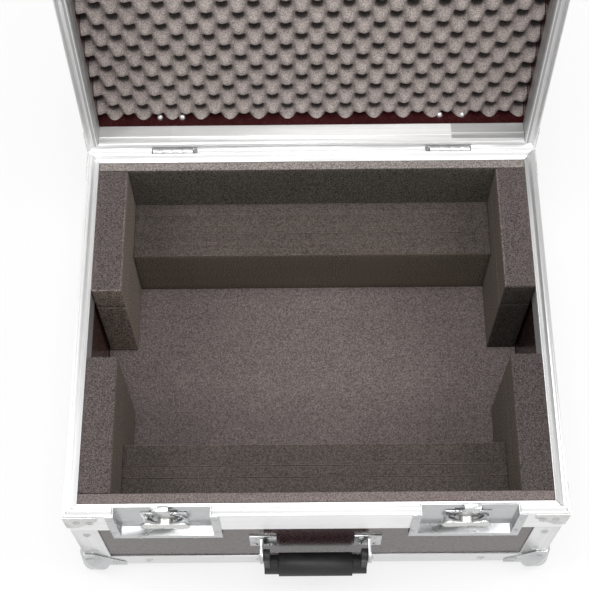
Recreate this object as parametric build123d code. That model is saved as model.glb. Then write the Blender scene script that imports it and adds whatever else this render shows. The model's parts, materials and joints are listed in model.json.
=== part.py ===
from build123d import *

import math
import os

# Drum pad case: a plywood road case with an aluminium tongue-and-groove rim, a
# lid on two stop hinges, foam fitting for one drum pad, two recessed butterfly
# latches and a swinging carry handle. Millimetres, +Z up, +Y towards the hinges.
# It is drawn about the centre of the base on the ground, and written about the
# centre of the footprint that it has with its lid open.

# Room inside the case, between the rim's inner faces
inner_x = 435.0
inner_y = 360.0
well_depth = 150.0
lid_depth = 65.0

# Plywood and aluminium sheet
ply = 9.0
wall_t = 1.4
fit_gap = 0.1
wall = ply + 2 * (wall_t + fit_gap)
edge_leg = 25.0
saw_gap = 0.1

# Rim extrusions, v is height from the parting plane
parting_gap = 0.3
base_inner_flange = 30.0
lid_inner_flange = 24.5
outer_flange = 46.0
flange_relief = 0.4
base_head = 5.0
lid_head = 6.5
tongue_foot = (4.3, 10.2)
tongue_top = (6.2, 8.6)
tongue_height = 4.0
groove_clearance = 0.6
lid_bead = (5.0, 10.0, 10.8)

# Foam fitting
floor_foam_t = 10.0
liner_t = 10.0
block_t = 30.0
block_length = 135.0
block_cap_height = 40.0
rear_step_width = 62.0
front_step_strips = (33.0, 24.0, 13.0)
step_drop = 70.0
egg_sheet_t = 9.5
egg_cone_height = 24.0
egg_row_pitch = 14.9
egg_tip = 3.4
egg_valley = 2.0
egg_first_row = 10.4
egg_gap = 0.3

# Feet
foot_height = 12.0
foot_r = 19.0
foot_taper = 3.0
foot_inset = 50.0
screw_recess_r = 6.0
screw_recess = 5.0

# Corners
corner_t = 1.2
corner_reach = 38.0
brace_reach = 30.0
ball_r = 17.0
ball_inset = 9.0
ball_bands = 4
plate_clip = 1.25
brace_gap = 1.5

# Stop hinges
hinge_x = 142.0
hinge_offset = 0.4
lid_open_deg = 95.5
knuckle_r = 3.5
knuckle_length = 10.0
knuckle_count = 4
knuckle_gap = 0.3
pin_r = 1.75
pin_fit = 0.05
leaf_t = 1.5
leaf_height = 43.0
notch_clearance = 0.7
lid_notch_reach = 6.0
notch_outer_end = 1.3
notch_inner_end = 4.2
stop_reach = 9.0
stop_gap = 0.25

# Butterfly latches
latch_x = 140.0
dish_t = 1.2
dish_depth = 8.6
dish_half_width = 44.0
dish_bottom = 62.0
dish_top = 30.0
dish_flange = 8.0
dish_cut_clearance = 0.2
spindle_level = 37.0
spindle_r = 3.0
spindle_fit = 0.06
rotor_r = 12.0
rotor_throw = 4.0
rotor_clearance = 0.1
wing_length = 23.0
wing_tip_r = 8.0
wing_hub_r = 7.0
wing_t = 2.5
draw_t = 1.4
draw_rim = 5.0
latch_gap = 0.3
hook_tilt_deg = 8.0
hook_half_width = 7.5
hook_t = 1.5
hook_knuckle_r = 1.6
hook_pin_r = 0.8
hook_nose_h = 2.5
keeper_level = 4.0
keeper_h = 4.0
keeper_depth = 3.0
keeper_half_width = 10.0

# Carry handle
handle_level = 88.0
handle_half_width = 44.0
handle_arm = 36.0
handle_arm_t = 6.0
handle_stand = 15.5
grip_r = 9.5
grip_swell = 2.0
grip_sleeve = 72.0
ear_t = 3.0
handle_pin_r = 3.0
handle_gap = 0.3
bracket_half_height = 16.0
bracket_width = 26.0
bracket_t = 2.0

# How far an eccentric's lift strays from an even one, as a share of its throw
uneven_lift = math.sqrt(1 - (2 / math.pi) ** 2) - 2 / math.pi * math.acos(2 / math.pi)

# Levels and planes worked out from the sizes above
underside_z = foot_height
floor_z = underside_z + ply
foam_floor_z = floor_z + floor_foam_t
parting_z = foam_floor_z + well_depth
outer_x = inner_x / 2 + wall
outer_y = inner_y / 2 + wall
ply_in = wall_t + fit_gap
ply_out = ply_in + ply
lid_top_z = parting_z + lid_depth
hinge_y = outer_y + hinge_offset
hinge_z = parting_z + parting_gap / 2
barrel_length = knuckle_count * knuckle_length + (knuckle_count - 1) * knuckle_gap
step_z = parting_z - step_drop
block_x = inner_x / 2 - block_t
liner_y = inner_y / 2 - liner_t
front_face = -outer_y
latch_travel = 2 * rotor_throw
rotor_play = rotor_clearance + rotor_throw * uneven_lift
hook_pivot_level = spindle_level - rotor_throw - rotor_r - rotor_play - draw_rim - 2.4

nodes = {}


def block(x0, x1, y0, y1, z0, z1):
    """Rectangular solid between two corners."""
    middle = ((x0 + x1) / 2, (y0 + y1) / 2, (z0 + z1) / 2)
    return Pos(*middle) * Box(abs(x1 - x0), abs(y1 - y0), abs(z1 - z0))


def rod_x(x0, x1, y, z, radius):
    """Round bar along X."""
    return Pos((x0 + x1) / 2, y, z) * Rot(0, 90, 0) * Cylinder(radius, abs(x1 - x0))


def rod_y(y0, y1, x, z, radius):
    """Round bar along Y."""
    return Pos(x, (y0 + y1) / 2, z) * Rot(90, 0, 0) * Cylinder(radius, abs(y1 - y0))


def drawn(plane, points):
    """Flat face with straight sides on a plane."""
    return plane * make_face(Polyline(*points, close=True))


def group(*shapes):
    """Several solids that belong to one node."""
    solids = []
    for shape in shapes:
        solids.extend(shape.solids())
    return Compound(children=solids)


def four_corners(shape):
    """The shape at the front right corner, repeated at all four."""
    left = mirror(shape, about=Plane.YZ)
    return group(shape, left, mirror(shape, about=Plane.XZ), mirror(left, about=Plane.XZ))


def open_lid(shape):
    """Turns what is drawn on the closed lid to the open rest position."""
    return Pos(0, hinge_y, hinge_z) * Rot(-lid_open_deg, 0, 0) * Pos(0, -hinge_y, -hinge_z) * shape


# Bars that frame the four sides, with mitred ends

sides = {
    "front": ((0, -1), inner_y / 2, inner_x / 2),
    "rear": ((0, 1), inner_y / 2, inner_x / 2),
    "left": ((-1, 0), inner_x / 2, inner_y / 2),
    "right": ((1, 0), inner_x / 2, inner_y / 2),
}


def mitred_bar(side, level, outline):
    """A bar along one side; outline points are (outwards from the inner face, up)."""
    (out_x, out_y), reach, half = sides[side]
    out = Vector(out_x, out_y, 0)
    along = out.cross(Vector(0, 0, 1))
    origin = out * reach
    plane = Plane(origin=origin + Vector(0, 0, level), x_dir=out, z_dir=along)
    bar = extrude(drawn(plane, outline), amount=half + 2 * wall, both=True)
    near, far = -2 * edge_leg, 2 * wall
    mitre = [(-half - near + saw_gap, near), (half + near - saw_gap, near)]
    mitre += [(half + far - saw_gap, far), (-half - far + saw_gap, far)]
    plan = Plane(origin=origin + Vector(0, 0, level - 2 * outer_flange), x_dir=along, z_dir=(0, 0, 1))
    turn = 1 if plan.y_dir.dot(out) > 0 else -1
    wedge = extrude(drawn(plan, [(a, turn * u) for a, u in mitre]), amount=4 * outer_flange)
    return bar & wedge


base_rim_outline = [
    (0, 0),
    (tongue_foot[0], 0),
    (tongue_top[0], tongue_height),
    (tongue_top[1], tongue_height),
    (tongue_foot[1], 0),
    (wall, 0),
    (wall, -outer_flange),
    (wall - wall_t, -outer_flange),
    (wall - wall_t, -base_head),
    (wall_t, -base_head),
    (wall_t, -base_inner_flange),
    (flange_relief, -base_inner_flange),
    (flange_relief, -base_head),
    (0, -base_head),
]

groove_top = parting_gap + tongue_height + groove_clearance / 2
lid_rim_outline = [
    (0, parting_gap),
    (tongue_foot[0] - groove_clearance, parting_gap),
    (tongue_top[0] - groove_clearance, groove_top),
    (tongue_top[1] + groove_clearance, groove_top),
    (tongue_foot[1] + groove_clearance, parting_gap),
    (wall, parting_gap),
    (wall, outer_flange),
    (wall - wall_t, outer_flange),
    (wall - wall_t, lid_head),
    (wall_t, lid_head),
    (wall_t, lid_inner_flange),
    (flange_relief, lid_inner_flange),
    (flange_relief, lid_bead[2]),
    (0, lid_bead[2]),
    (0, lid_bead[1]),
    (flange_relief, lid_bead[1]),
    (flange_relief, lid_bead[0]),
    (0, lid_bead[0]),
]

edge_outline = [
    (wall, edge_leg),
    (wall, -wall_t - fit_gap),
    (wall - edge_leg, -wall_t - fit_gap),
    (wall - edge_leg, -fit_gap),
    (wall - wall_t, -fit_gap),
    (wall - wall_t, edge_leg),
]


def hinge_notch(centre_x, low_z, high_z, reach):
    """Room for one hinge barrel, wider at the end towards the case's middle."""
    side = 1 if centre_x > 0 else -1
    outer_end = centre_x + side * (barrel_length / 2 + notch_outer_end)
    inner_end = centre_x - side * (barrel_length / 2 + notch_inner_end)
    return block(inner_end, outer_end, hinge_y - reach, outer_y + wall, low_z, high_z)


def latch_cut(centre_x, low_z, high_z):
    """Room for one latch dish in the front wall."""
    half = dish_half_width + dish_t + dish_cut_clearance
    depth = dish_depth + dish_t + dish_cut_clearance
    return block(centre_x - half, centre_x + half, front_face - wall, front_face + depth, low_z, high_z)


dish_low_z = parting_z - dish_bottom - dish_t - dish_cut_clearance
dish_high_z = parting_z + dish_top + dish_t + dish_cut_clearance
notch_reach = knuckle_r + notch_clearance


def make_base_rim():
    """Four tongue extrusions round the base."""
    for side in sides:
        bar = mitred_bar(side, parting_z, base_rim_outline)
        if side == "rear":
            for x in (-hinge_x, hinge_x):
                bar -= hinge_notch(x, hinge_z - notch_reach, parting_z + wall, notch_reach)
        if side == "front":
            for x in (-latch_x, latch_x):
                bar -= latch_cut(x, dish_low_z, parting_z + wall)
        nodes["base_rim_" + side] = bar


def make_lid_rim():
    """Four groove extrusions round the lid."""
    for side in sides:
        bar = mitred_bar(side, parting_z, lid_rim_outline)
        if side == "rear":
            for x in (-hinge_x, hinge_x):
                bar -= hinge_notch(x, parting_z - wall, hinge_z + notch_reach, lid_notch_reach)
        if side == "front":
            for x in (-latch_x, latch_x):
                bar -= latch_cut(x, parting_z - wall, dish_high_z)
        nodes["lid_rim_" + side] = open_lid(bar)


# Plywood

def make_base_panels():
    """Floor and four walls of film-faced plywood."""
    ply_x = inner_x / 2 + ply_out
    ply_y = inner_y / 2 + ply_out
    in_x = inner_x / 2 + ply_in
    in_y = inner_y / 2 + ply_in
    top = parting_z - base_head - fit_gap
    floor = block(-ply_x, ply_x, -ply_y, ply_y, underside_z, floor_z)
    nodes["base_floor_panel"] = floor
    front = block(-ply_x, ply_x, -ply_y, -in_y, floor_z, top)
    rear = block(-ply_x, ply_x, in_y, ply_y, floor_z, top)
    for x in (-latch_x, latch_x):
        front -= latch_cut(x, dish_low_z, parting_z)
    nodes["base_front_panel"] = front
    nodes["base_rear_panel"] = rear
    nodes["base_left_panel"] = block(-ply_x, -in_x, -in_y, in_y, floor_z, top)
    nodes["base_right_panel"] = block(in_x, ply_x, -in_y, in_y, floor_z, top)


def make_lid_panels():
    """Top and four walls of the lid."""
    ply_x = inner_x / 2 + ply_out
    ply_y = inner_y / 2 + ply_out
    in_x = inner_x / 2 + ply_in
    in_y = inner_y / 2 + ply_in
    low = parting_z + lid_head + fit_gap
    top = block(-ply_x, ply_x, -ply_y, ply_y, lid_top_z, lid_top_z + ply)
    front = block(-ply_x, ply_x, -ply_y, -in_y, low, lid_top_z)
    rear = block(-ply_x, ply_x, in_y, ply_y, low, lid_top_z)
    for x in (-latch_x, latch_x):
        front -= latch_cut(x, parting_z, dish_high_z)
    nodes["lid_top_panel"] = open_lid(top)
    nodes["lid_front_panel"] = open_lid(front)
    nodes["lid_rear_panel"] = open_lid(rear)
    nodes["lid_left_panel"] = open_lid(block(-ply_x, -in_x, -in_y, in_y, low, lid_top_z))
    nodes["lid_right_panel"] = open_lid(block(in_x, ply_x, -in_y, in_y, low, lid_top_z))


# Edge angles, ball corners and rim braces

def make_edges():
    """Aluminium angle along the bottom, upright and top edges."""
    bottom = []
    top = []
    for side in sides:
        bottom.append(mitred_bar(side, underside_z, edge_outline))
        flipped = [(u, -v) for u, v in reversed(edge_outline)]
        top.append(mitred_bar(side, lid_top_z + ply, flipped))
    nodes["base_bottom_edges"] = group(*bottom)
    nodes["lid_top_edges"] = open_lid(group(*top))
    low = underside_z + edge_leg + saw_gap
    high = parting_z - outer_flange - saw_gap
    upright = block(outer_x - edge_leg, outer_x, -outer_y, -outer_y + wall_t, low, high)
    upright += block(outer_x - wall_t, outer_x, -outer_y, -outer_y + edge_leg, low, high)
    nodes["base_upright_edges"] = four_corners(upright)


def corner_plates(z, up, reach):
    """Sheet metal on the outside of the front right upright edge, clipped aslant."""
    x, y, t = outer_x, -outer_y, corner_t
    plates = block(x - reach, x + t, y - t, y + reach, z - up * t, z + up * reach)
    aslant = Vector(-1, 1, up).normalized()
    clip = Plane(origin=Vector(x, y, z) + aslant * (plate_clip * reach / math.sqrt(3)), z_dir=aslant)
    return plates - extrude(clip * Rectangle(6 * reach, 6 * reach), amount=3 * reach)


def turned_ball():
    """Ball as turned bands of a few degrees each, with its axis along the corner's diagonal."""
    step = math.pi / ball_bands
    crown = ball_r / math.cos(step / 2)
    arc = [(crown * math.sin(step * (k + 0.5)), crown * math.cos(step * (k + 0.5))) for k in range(ball_bands)]
    outline = [(0, arc[0][1]), *arc, (0, arc[-1][1])]
    return revolve(drawn(Plane.XZ, outline), Axis.Z)


def make_ball_corners():
    """Pressed steel corners with a ball that takes the knocks."""
    low = underside_z - wall_t - fit_gap
    high = lid_top_z + ply + wall_t + fit_gap
    envelope = block(-outer_x, outer_x, -outer_y, outer_y, low, high)
    for name, z, up in (("base_ball_corners", low, 1), ("lid_ball_corners", high, -1)):
        plates = corner_plates(z, up, corner_reach)
        middle = Vector(outer_x - ball_inset, ball_inset - outer_y, z + up * ball_inset)
        aim = Plane(origin=middle, z_dir=Vector(1, -1, -up))
        corners = four_corners((plates - envelope) + (aim * turned_ball() - envelope))
        nodes[name] = corners if up > 0 else open_lid(corners)


def make_rim_braces():
    """Steel braces that tie the mitred rim corners, on the base and on the lid."""
    middle = block(-outer_x, outer_x, -outer_y, outer_y, 0, 2 * lid_top_z)
    for name, z, up in (("base_rim_braces", parting_z, -1), ("lid_rim_braces", parting_z, 1)):
        near = z + up * (brace_gap + corner_t + parting_gap)
        braces = four_corners(corner_plates(near, up, brace_reach) - middle)
        nodes[name] = braces if up < 0 else open_lid(braces)


# Feet

def foot_places():
    """Plan positions of the four feet."""
    x = outer_x - foot_inset
    y = outer_y - foot_inset
    return [(x, y), (-x, y), (x, -y), (-x, -y)]


def make_feet():
    """Tapered rubber feet, each with a recess for its screw."""
    feet = []
    for x, y in foot_places():
        foot = Pos(x, y, foot_height / 2) * Cone(foot_r - foot_taper, foot_r, foot_height)
        feet.append(foot - Pos(x, y, screw_recess / 2) * Cylinder(screw_recess_r, screw_recess))
    nodes["rubber_feet"] = group(*feet)


# Foam

def make_base_foam():
    """Floor sheet, end liners, split side blocks and the two steps a pad stands on."""
    half = inner_x / 2
    in_x = half + ply_in
    in_y = inner_y / 2 + ply_in
    nodes["floor_foam"] = block(-in_x, in_x, -in_y, in_y, floor_z, foam_floor_z)
    nodes["rear_liner_foam"] = block(-half, half, liner_y, inner_y / 2, foam_floor_z, parting_z)
    nodes["front_liner_foam"] = block(-half, half, -inner_y / 2, -liner_y, foam_floor_z, parting_z)
    cap_z = parting_z - block_cap_height
    for x_name, x in (("left", -1), ("right", 1)):
        for y_name, y in (("rear", 1), ("front", -1)):
            y0 = y * liner_y
            y1 = y * (liner_y - block_length)
            lower = block(x * block_x, x * half, y0, y1, foam_floor_z, cap_z)
            upper = block(x * block_x, x * half, y0, y1, cap_z, parting_z)
            nodes[f"{y_name}_{x_name}_foam_block"] = group(lower, upper)
    rear_edge = liner_y - rear_step_width
    nodes["rear_step_foam"] = block(-block_x, block_x, rear_edge, liner_y, foam_floor_z, step_z)
    strips = []
    y = -liner_y
    for width in front_step_strips:
        strips.append(block(-block_x, block_x, y, y + width, foam_floor_z, step_z))
        y += width
    nodes["front_step_foam"] = group(*strips)


def make_lid_foam():
    """Convoluted sheet, its staggered rows of cones drawn as ridges of the same section."""
    half_x = inner_x / 2 + ply_in - egg_gap
    half_y = inner_y / 2 + ply_in - egg_gap
    sheet_z = lid_top_z - egg_sheet_t
    tip_z = sheet_z - egg_cone_height
    rows = math.ceil(2 * half_y / egg_row_pitch) + 1
    ridges = []
    for row in range(-1, rows):
        y = inner_y / 2 - egg_first_row - row * egg_row_pitch
        half_foot = (egg_row_pitch - egg_valley) / 2
        profile = [(y - half_foot, sheet_z + 1), (y - half_foot, sheet_z), (y - egg_tip / 2, tip_z)]
        profile += [(y + egg_tip / 2, tip_z), (y + half_foot, sheet_z), (y + half_foot, sheet_z + 1)]
        ridges.append(profile)
    plane = Plane(origin=(-half_x, 0, 0), x_dir=(0, 1, 0), z_dir=(1, 0, 0))
    sheet = block(-half_x, half_x, -half_y, half_y, sheet_z, lid_top_z)
    room = block(-half_x, half_x, -half_y, half_y, tip_z, lid_top_z)
    for profile in ridges:
        sheet += extrude(drawn(plane, profile), amount=2 * half_x) & room
    nodes["lid_egg_foam"] = open_lid(sheet)


# Hinges

def knuckle_spans():
    """Start and end of each knuckle along the barrel, measured from its middle."""
    spans = []
    start = -barrel_length / 2
    for _ in range(knuckle_count):
        spans.append((start, start + knuckle_length))
        start += knuckle_length + knuckle_gap
    return spans


def hinge_leaf(centre_x, up, own):
    """One leaf with its own knuckles; up is 1 for the lid's leaf, -1 for the base's."""
    face = outer_y
    near = hinge_z + up * (knuckle_r + knuckle_gap)
    far = hinge_z + up * leaf_height
    half = barrel_length / 2
    leaf = block(centre_x - half, centre_x + half, face, face + leaf_t, near, far)
    for index, (start, end) in enumerate(knuckle_spans()):
        if index % 2 == own:
            x0, x1 = centre_x + start, centre_x + end
            leaf += rod_x(x0, x1, hinge_y, hinge_z, knuckle_r)
            leaf += block(x0, x1, face, face + leaf_t, hinge_z, near)
    return leaf - rod_x(centre_x - half, centre_x + half, hinge_y, hinge_z, pin_r + pin_fit)


def stop_lug(centre_x, start, end):
    """Gusset on the base leaf on which the opened lid's leaf comes to rest."""
    turn = math.radians(lid_open_deg)
    under = leaf_t - hinge_offset

    def rest_height(reach):
        along = (reach - under * math.cos(turn)) / math.sin(turn)
        return along * math.cos(turn) - under * math.sin(turn) - stop_gap

    plane = Plane(origin=(centre_x + start, hinge_y, hinge_z), x_dir=(0, 1, 0), z_dir=(1, 0, 0))
    near = knuckle_r * 0.75
    outline = [(near, rest_height(near)), (stop_reach, rest_height(stop_reach))]
    outline += [(stop_reach, rest_height(stop_reach) - 2 * leaf_t), (0, -stop_reach), (0, -knuckle_r * 0.75)]
    lug = extrude(drawn(plane, outline), amount=end - start)
    return lug - block(centre_x + start, centre_x + end, hinge_y - wall, outer_y, hinge_z - wall, hinge_z)


def make_hinges():
    """Two four-knuckle stop hinges and their pins."""
    base_leaves, lid_leaves, pins = [], [], []
    spans = knuckle_spans()
    for x in (-hinge_x, hinge_x):
        leaf = hinge_leaf(x, -1, 0)
        for start, end in spans[::2]:
            leaf += stop_lug(x, start, end)
        leaf -= rod_x(x - barrel_length, x + barrel_length, hinge_y, hinge_z, pin_r + pin_fit)
        base_leaves.append(leaf)
        lid_leaves.append(hinge_leaf(x, 1, 1))
        pins.append(rod_x(x - barrel_length / 2, x + barrel_length / 2, hinge_y, hinge_z, pin_r))
    nodes["hinge_base_leaves"] = group(*base_leaves)
    nodes["hinge_lid_leaves"] = open_lid(group(*lid_leaves))
    nodes["hinge_pins"] = group(*pins)


# Butterfly latches; depth is measured inwards from the front wall's outer face

def dish(centre_x, low, high, closed_end):
    """Pressed steel dish, open at the parting plane; closed_end is 'low' or 'high'."""
    half = dish_half_width
    floor_depth = dish_depth + dish_t
    grow = (dish_t, 0) if closed_end == "low" else (0, dish_t)
    face = front_face
    outer = block(centre_x - half - dish_t, centre_x + half + dish_t, face, face + floor_depth,
                  low - grow[0], high + grow[1])
    rim_grow = (dish_flange, 0) if closed_end == "low" else (0, dish_flange)
    lip = block(centre_x - half - dish_flange, centre_x + half + dish_flange, face - dish_t, face,
                low - rim_grow[0], high + rim_grow[1])
    open_low = low if closed_end == "low" else low - dish_t
    open_high = high if closed_end == "high" else high + dish_t
    room = block(centre_x - half, centre_x + half, face - wall, face + dish_depth, open_low, open_high)
    return (outer + lip) - room


def wing_outline(plane, centre_x, level):
    """Bow-tie plan of the wing: two round lobes tapering to a hub."""
    tip_x = wing_length - wing_tip_r
    lobes = Pos(tip_x, 0) * Circle(wing_tip_r) + Pos(-tip_x, 0) * Circle(wing_tip_r)
    waist = make_face(Polyline(
        (-tip_x, -wing_tip_r), (0, -wing_hub_r * 0.7), (tip_x, -wing_tip_r),
        (tip_x, wing_tip_r), (0, wing_hub_r * 0.7), (-tip_x, wing_tip_r), close=True))
    return plane * (lobes + waist + Circle(wing_hub_r))


def make_latch(name, centre_x):
    """One recessed butterfly latch, in its open position with the hook tilted out."""
    spindle_z = parting_z - spindle_level
    face = front_face
    base_dish = dish(centre_x, parting_z - dish_bottom, parting_z, "low")
    base_dish += rod_y(face + wing_t, face + dish_depth, centre_x, spindle_z, spindle_r)
    nodes[f"{name}_latch_dish"] = base_dish

    keeper_dish = dish(centre_x, parting_z + parting_gap, parting_z + dish_top, "high")
    keeper_low = parting_z + keeper_level
    lip_depth = face + dish_depth - keeper_depth
    keeper_dish += block(centre_x - keeper_half_width, centre_x + keeper_half_width,
                         lip_depth, face + dish_depth, keeper_low, keeper_low + keeper_h)
    nodes[f"{name}_latch_keeper"] = open_lid(keeper_dish)

    wing_face = face + latch_gap
    draw_back = face + dish_depth - latch_gap
    draw_front = draw_back - draw_t
    rotor_z = spindle_z + rotor_throw
    plane = Plane(origin=(centre_x, wing_face, spindle_z), x_dir=(1, 0, 0), z_dir=(0, 1, 0))
    wing = extrude(wing_outline(plane, centre_x, spindle_z), amount=wing_t)
    wing += rod_y(wing_face, draw_back, centre_x, spindle_z, wing_hub_r)
    wing += rod_y(draw_front - latch_gap, draw_back, centre_x, rotor_z, rotor_r)
    wing -= rod_y(face + wing_t - latch_gap, face + dish_depth, centre_x, spindle_z, spindle_r + spindle_fit)
    nodes[f"{name}_latch_wing"] = wing

    pivot_z = parting_z - hook_pivot_level
    pivot_y = face + dish_depth - latch_gap - hook_knuckle_r - latch_gap
    slot_half_w = rotor_r + rotor_throw + latch_gap
    slot_half_h = rotor_r + rotor_play
    plate_half_h = slot_half_h + draw_rim
    plate = block(centre_x - slot_half_w - draw_rim, centre_x + slot_half_w + draw_rim,
                  draw_front, draw_back, rotor_z - plate_half_h, rotor_z + plate_half_h)
    window_plane = Plane(origin=(centre_x, draw_front - 1, rotor_z), x_dir=(1, 0, 0), z_dir=(0, 1, 0))
    window = SlotOverall(2 * slot_half_w, 2 * slot_half_h)
    plate -= extrude(window_plane * window, amount=draw_t + 2)
    ear_in = hook_half_width + latch_gap
    ear_out = ear_in + draw_rim
    for x0, x1 in ((-ear_out, -ear_in), (ear_in, ear_out)):
        ear = rod_x(centre_x + x0, centre_x + x1, pivot_y, pivot_z, hook_knuckle_r)
        ear += block(centre_x + x0, centre_x + x1, draw_front, draw_back, rotor_z + plate_half_h - 1, pivot_z)
        plate += ear
    plate += rod_x(centre_x - ear_in, centre_x + ear_in, pivot_y, pivot_z, hook_pin_r)
    nodes[f"{name}_latch_draw_plate"] = plate

    nose_low = parting_z + keeper_level + keeper_h + latch_gap + latch_travel
    nose_high = nose_low + hook_nose_h
    arm_back = lip_depth - 2 * latch_gap
    arm_front = arm_back - hook_t
    nose_back = face + dish_depth - latch_gap
    x0, x1 = centre_x - hook_half_width, centre_x + hook_half_width
    hook = block(x0, x1, arm_front, arm_back, pivot_z - hook_knuckle_r, nose_high)
    hook += block(x0, x1, arm_front, nose_back, nose_low, nose_high)
    hook += rod_x(x0, x1, pivot_y, pivot_z, hook_knuckle_r)
    hook += block(x0, x1, arm_front, pivot_y, pivot_z - hook_knuckle_r, pivot_z + hook_knuckle_r)
    hook -= rod_x(x0, x1, pivot_y, pivot_z, hook_pin_r + pin_fit)
    tilt = Pos(0, pivot_y, pivot_z) * Rot(hook_tilt_deg, 0, 0) * Pos(0, -pivot_y, -pivot_z)
    nodes[f"{name}_latch_hook"] = tilt * hook


# Carry handle

def make_handle():
    """Swinging grip on two riveted brackets in the middle of the front wall."""
    ply_face = front_face + wall_t + fit_gap
    axis_y = ply_face - handle_stand
    axis_z = parting_z - handle_level
    arm_x = handle_half_width + handle_arm_t
    ear_x = arm_x + handle_gap
    brackets, pins = [], []
    for side in (-1, 1):
        plate = block(side * (ear_x - bracket_width / 2), side * (ear_x + bracket_width / 2),
                      ply_face - bracket_t, ply_face, axis_z - bracket_half_height, axis_z + bracket_half_height)
        ear = block(side * ear_x, side * (ear_x + ear_t), axis_y, ply_face - bracket_t,
                    axis_z - bracket_half_height / 2, axis_z + bracket_half_height / 2)
        ear += rod_x(side * ear_x, side * (ear_x + ear_t), axis_y, axis_z, bracket_half_height / 2)
        ear -= rod_x(side * arm_x, side * (ear_x + 2 * ear_t), axis_y, axis_z, handle_pin_r + pin_fit)
        brackets.append(plate + ear)
        pin = rod_x(side * handle_half_width, side * (ear_x + ear_t + 1), axis_y, axis_z, handle_pin_r)
        pins.append(pin)
    nodes["handle_brackets"] = group(*brackets)
    nodes["handle_pins"] = group(*pins)

    grip_z = axis_z - handle_arm
    half = handle_half_width
    plane = Plane(origin=(0, axis_y, grip_z), x_dir=(1, 0, 0), z_dir=(0, -1, 0))
    swell = grip_r + grip_swell
    sleeve = grip_sleeve / 2
    outline = [(-half, 0), (-half, grip_r), (-sleeve, grip_r), (-sleeve, swell)]
    outline += [(sleeve, swell), (sleeve, grip_r), (half, grip_r), (half, 0)]
    grip = revolve(drawn(plane, outline), Axis((0, axis_y, grip_z), (1, 0, 0)))
    for side in (-1, 1):
        arm_r = handle_arm_t
        arm = block(side * half, side * arm_x, axis_y - arm_r, axis_y + arm_r, grip_z, axis_z)
        arm += rod_x(side * half, side * arm_x, axis_y, axis_z, arm_r)
        arm += rod_x(side * half, side * arm_x, axis_y, grip_z, grip_r)
        arm -= rod_x(side * half, side * arm_x, axis_y, axis_z, handle_pin_r + pin_fit)
        grip += arm
    nodes["handle_grip"] = grip


# The footprint with the lid open, which places the origin
turn = math.radians(lid_open_deg)
lid_edge_reach = 2 * outer_y + hinge_offset + ball_r - ball_inset
lid_height = lid_depth + ply + wall_t + fit_gap + ball_r - ball_inset
rear_reach = hinge_y - lid_edge_reach * math.cos(turn) + lid_height * math.sin(turn)
front_reach = -front_face - wall_t - fit_gap + handle_stand + grip_r + grip_swell
origin_y = (rear_reach - front_reach) / 2


def main():
    """Builds every node and writes it."""
    make_base_rim()
    make_lid_rim()
    make_base_panels()
    make_lid_panels()
    make_edges()
    make_ball_corners()
    make_rim_braces()
    make_feet()
    make_base_foam()
    make_lid_foam()
    make_hinges()
    make_latch("left", -latch_x)
    make_latch("right", latch_x)
    make_handle()
    os.makedirs("parts", exist_ok=True)
    for name, shape in nodes.items():
        solids = [Pos(0, -origin_y, 0) * solid for solid in shape.solids()]
        export_step(solids[0] if len(solids) == 1 else Compound(solids), f"parts/{name}.step")
    print(len(nodes), "nodes, origin", round(origin_y, 2), "mm behind the base's centre")


main()
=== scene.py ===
"""Looks of the drum pad case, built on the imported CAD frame.

Metres, +Z up, +Y towards the hinges, in the frame's own place: the base on the ground, the lid open.
Lid pieces are worked out with the lid shut and then turned open with it, as a maker would lay them out.
"""

from __future__ import annotations

import json
import logging
import math
from dataclasses import dataclass, field
from enum import Enum
from functools import cached_property
from typing import Optional, Sequence, Union

import bmesh
import bpy
from mathutils import Matrix, Vector, noise
from mathutils.bvhtree import BVHTree

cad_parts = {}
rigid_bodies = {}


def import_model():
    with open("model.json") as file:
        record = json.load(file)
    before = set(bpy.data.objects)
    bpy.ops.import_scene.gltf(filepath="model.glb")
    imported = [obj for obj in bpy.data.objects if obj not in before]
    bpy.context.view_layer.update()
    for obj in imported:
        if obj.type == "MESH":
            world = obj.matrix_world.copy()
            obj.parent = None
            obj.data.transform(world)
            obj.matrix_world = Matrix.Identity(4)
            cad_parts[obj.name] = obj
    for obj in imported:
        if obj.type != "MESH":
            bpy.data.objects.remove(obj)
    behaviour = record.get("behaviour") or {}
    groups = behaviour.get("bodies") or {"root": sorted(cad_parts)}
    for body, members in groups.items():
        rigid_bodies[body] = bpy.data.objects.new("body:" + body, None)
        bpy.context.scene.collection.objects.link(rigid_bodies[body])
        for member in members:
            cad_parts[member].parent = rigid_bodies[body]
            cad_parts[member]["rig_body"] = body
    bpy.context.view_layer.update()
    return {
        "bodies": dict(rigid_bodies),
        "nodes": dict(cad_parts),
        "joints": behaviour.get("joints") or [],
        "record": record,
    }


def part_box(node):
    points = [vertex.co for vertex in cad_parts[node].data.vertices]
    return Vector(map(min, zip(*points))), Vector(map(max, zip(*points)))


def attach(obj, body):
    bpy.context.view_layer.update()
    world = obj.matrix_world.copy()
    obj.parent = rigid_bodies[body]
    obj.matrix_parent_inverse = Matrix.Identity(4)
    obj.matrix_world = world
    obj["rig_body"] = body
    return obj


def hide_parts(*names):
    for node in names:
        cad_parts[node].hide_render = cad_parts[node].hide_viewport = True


log = logging.getLogger("drum_pad_case")

MM = 0.001
WELD = 0.001 * MM
SIDES = (-1, 1)
MIDDLE = (0.3, 0.7)  # where most of a noise's values lie

Span = tuple[float, float]
Triple = tuple[float, float, float]
Colour = tuple[float, float, float, float]
Node = bpy.types.Node
Object = bpy.types.Object
Mesh = bpy.types.Mesh
Socket = bpy.types.NodeSocket
Source = Union[Socket, float, int, str, Sequence[float]]
Levels = Sequence[tuple[Sequence[float], float]]


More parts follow.
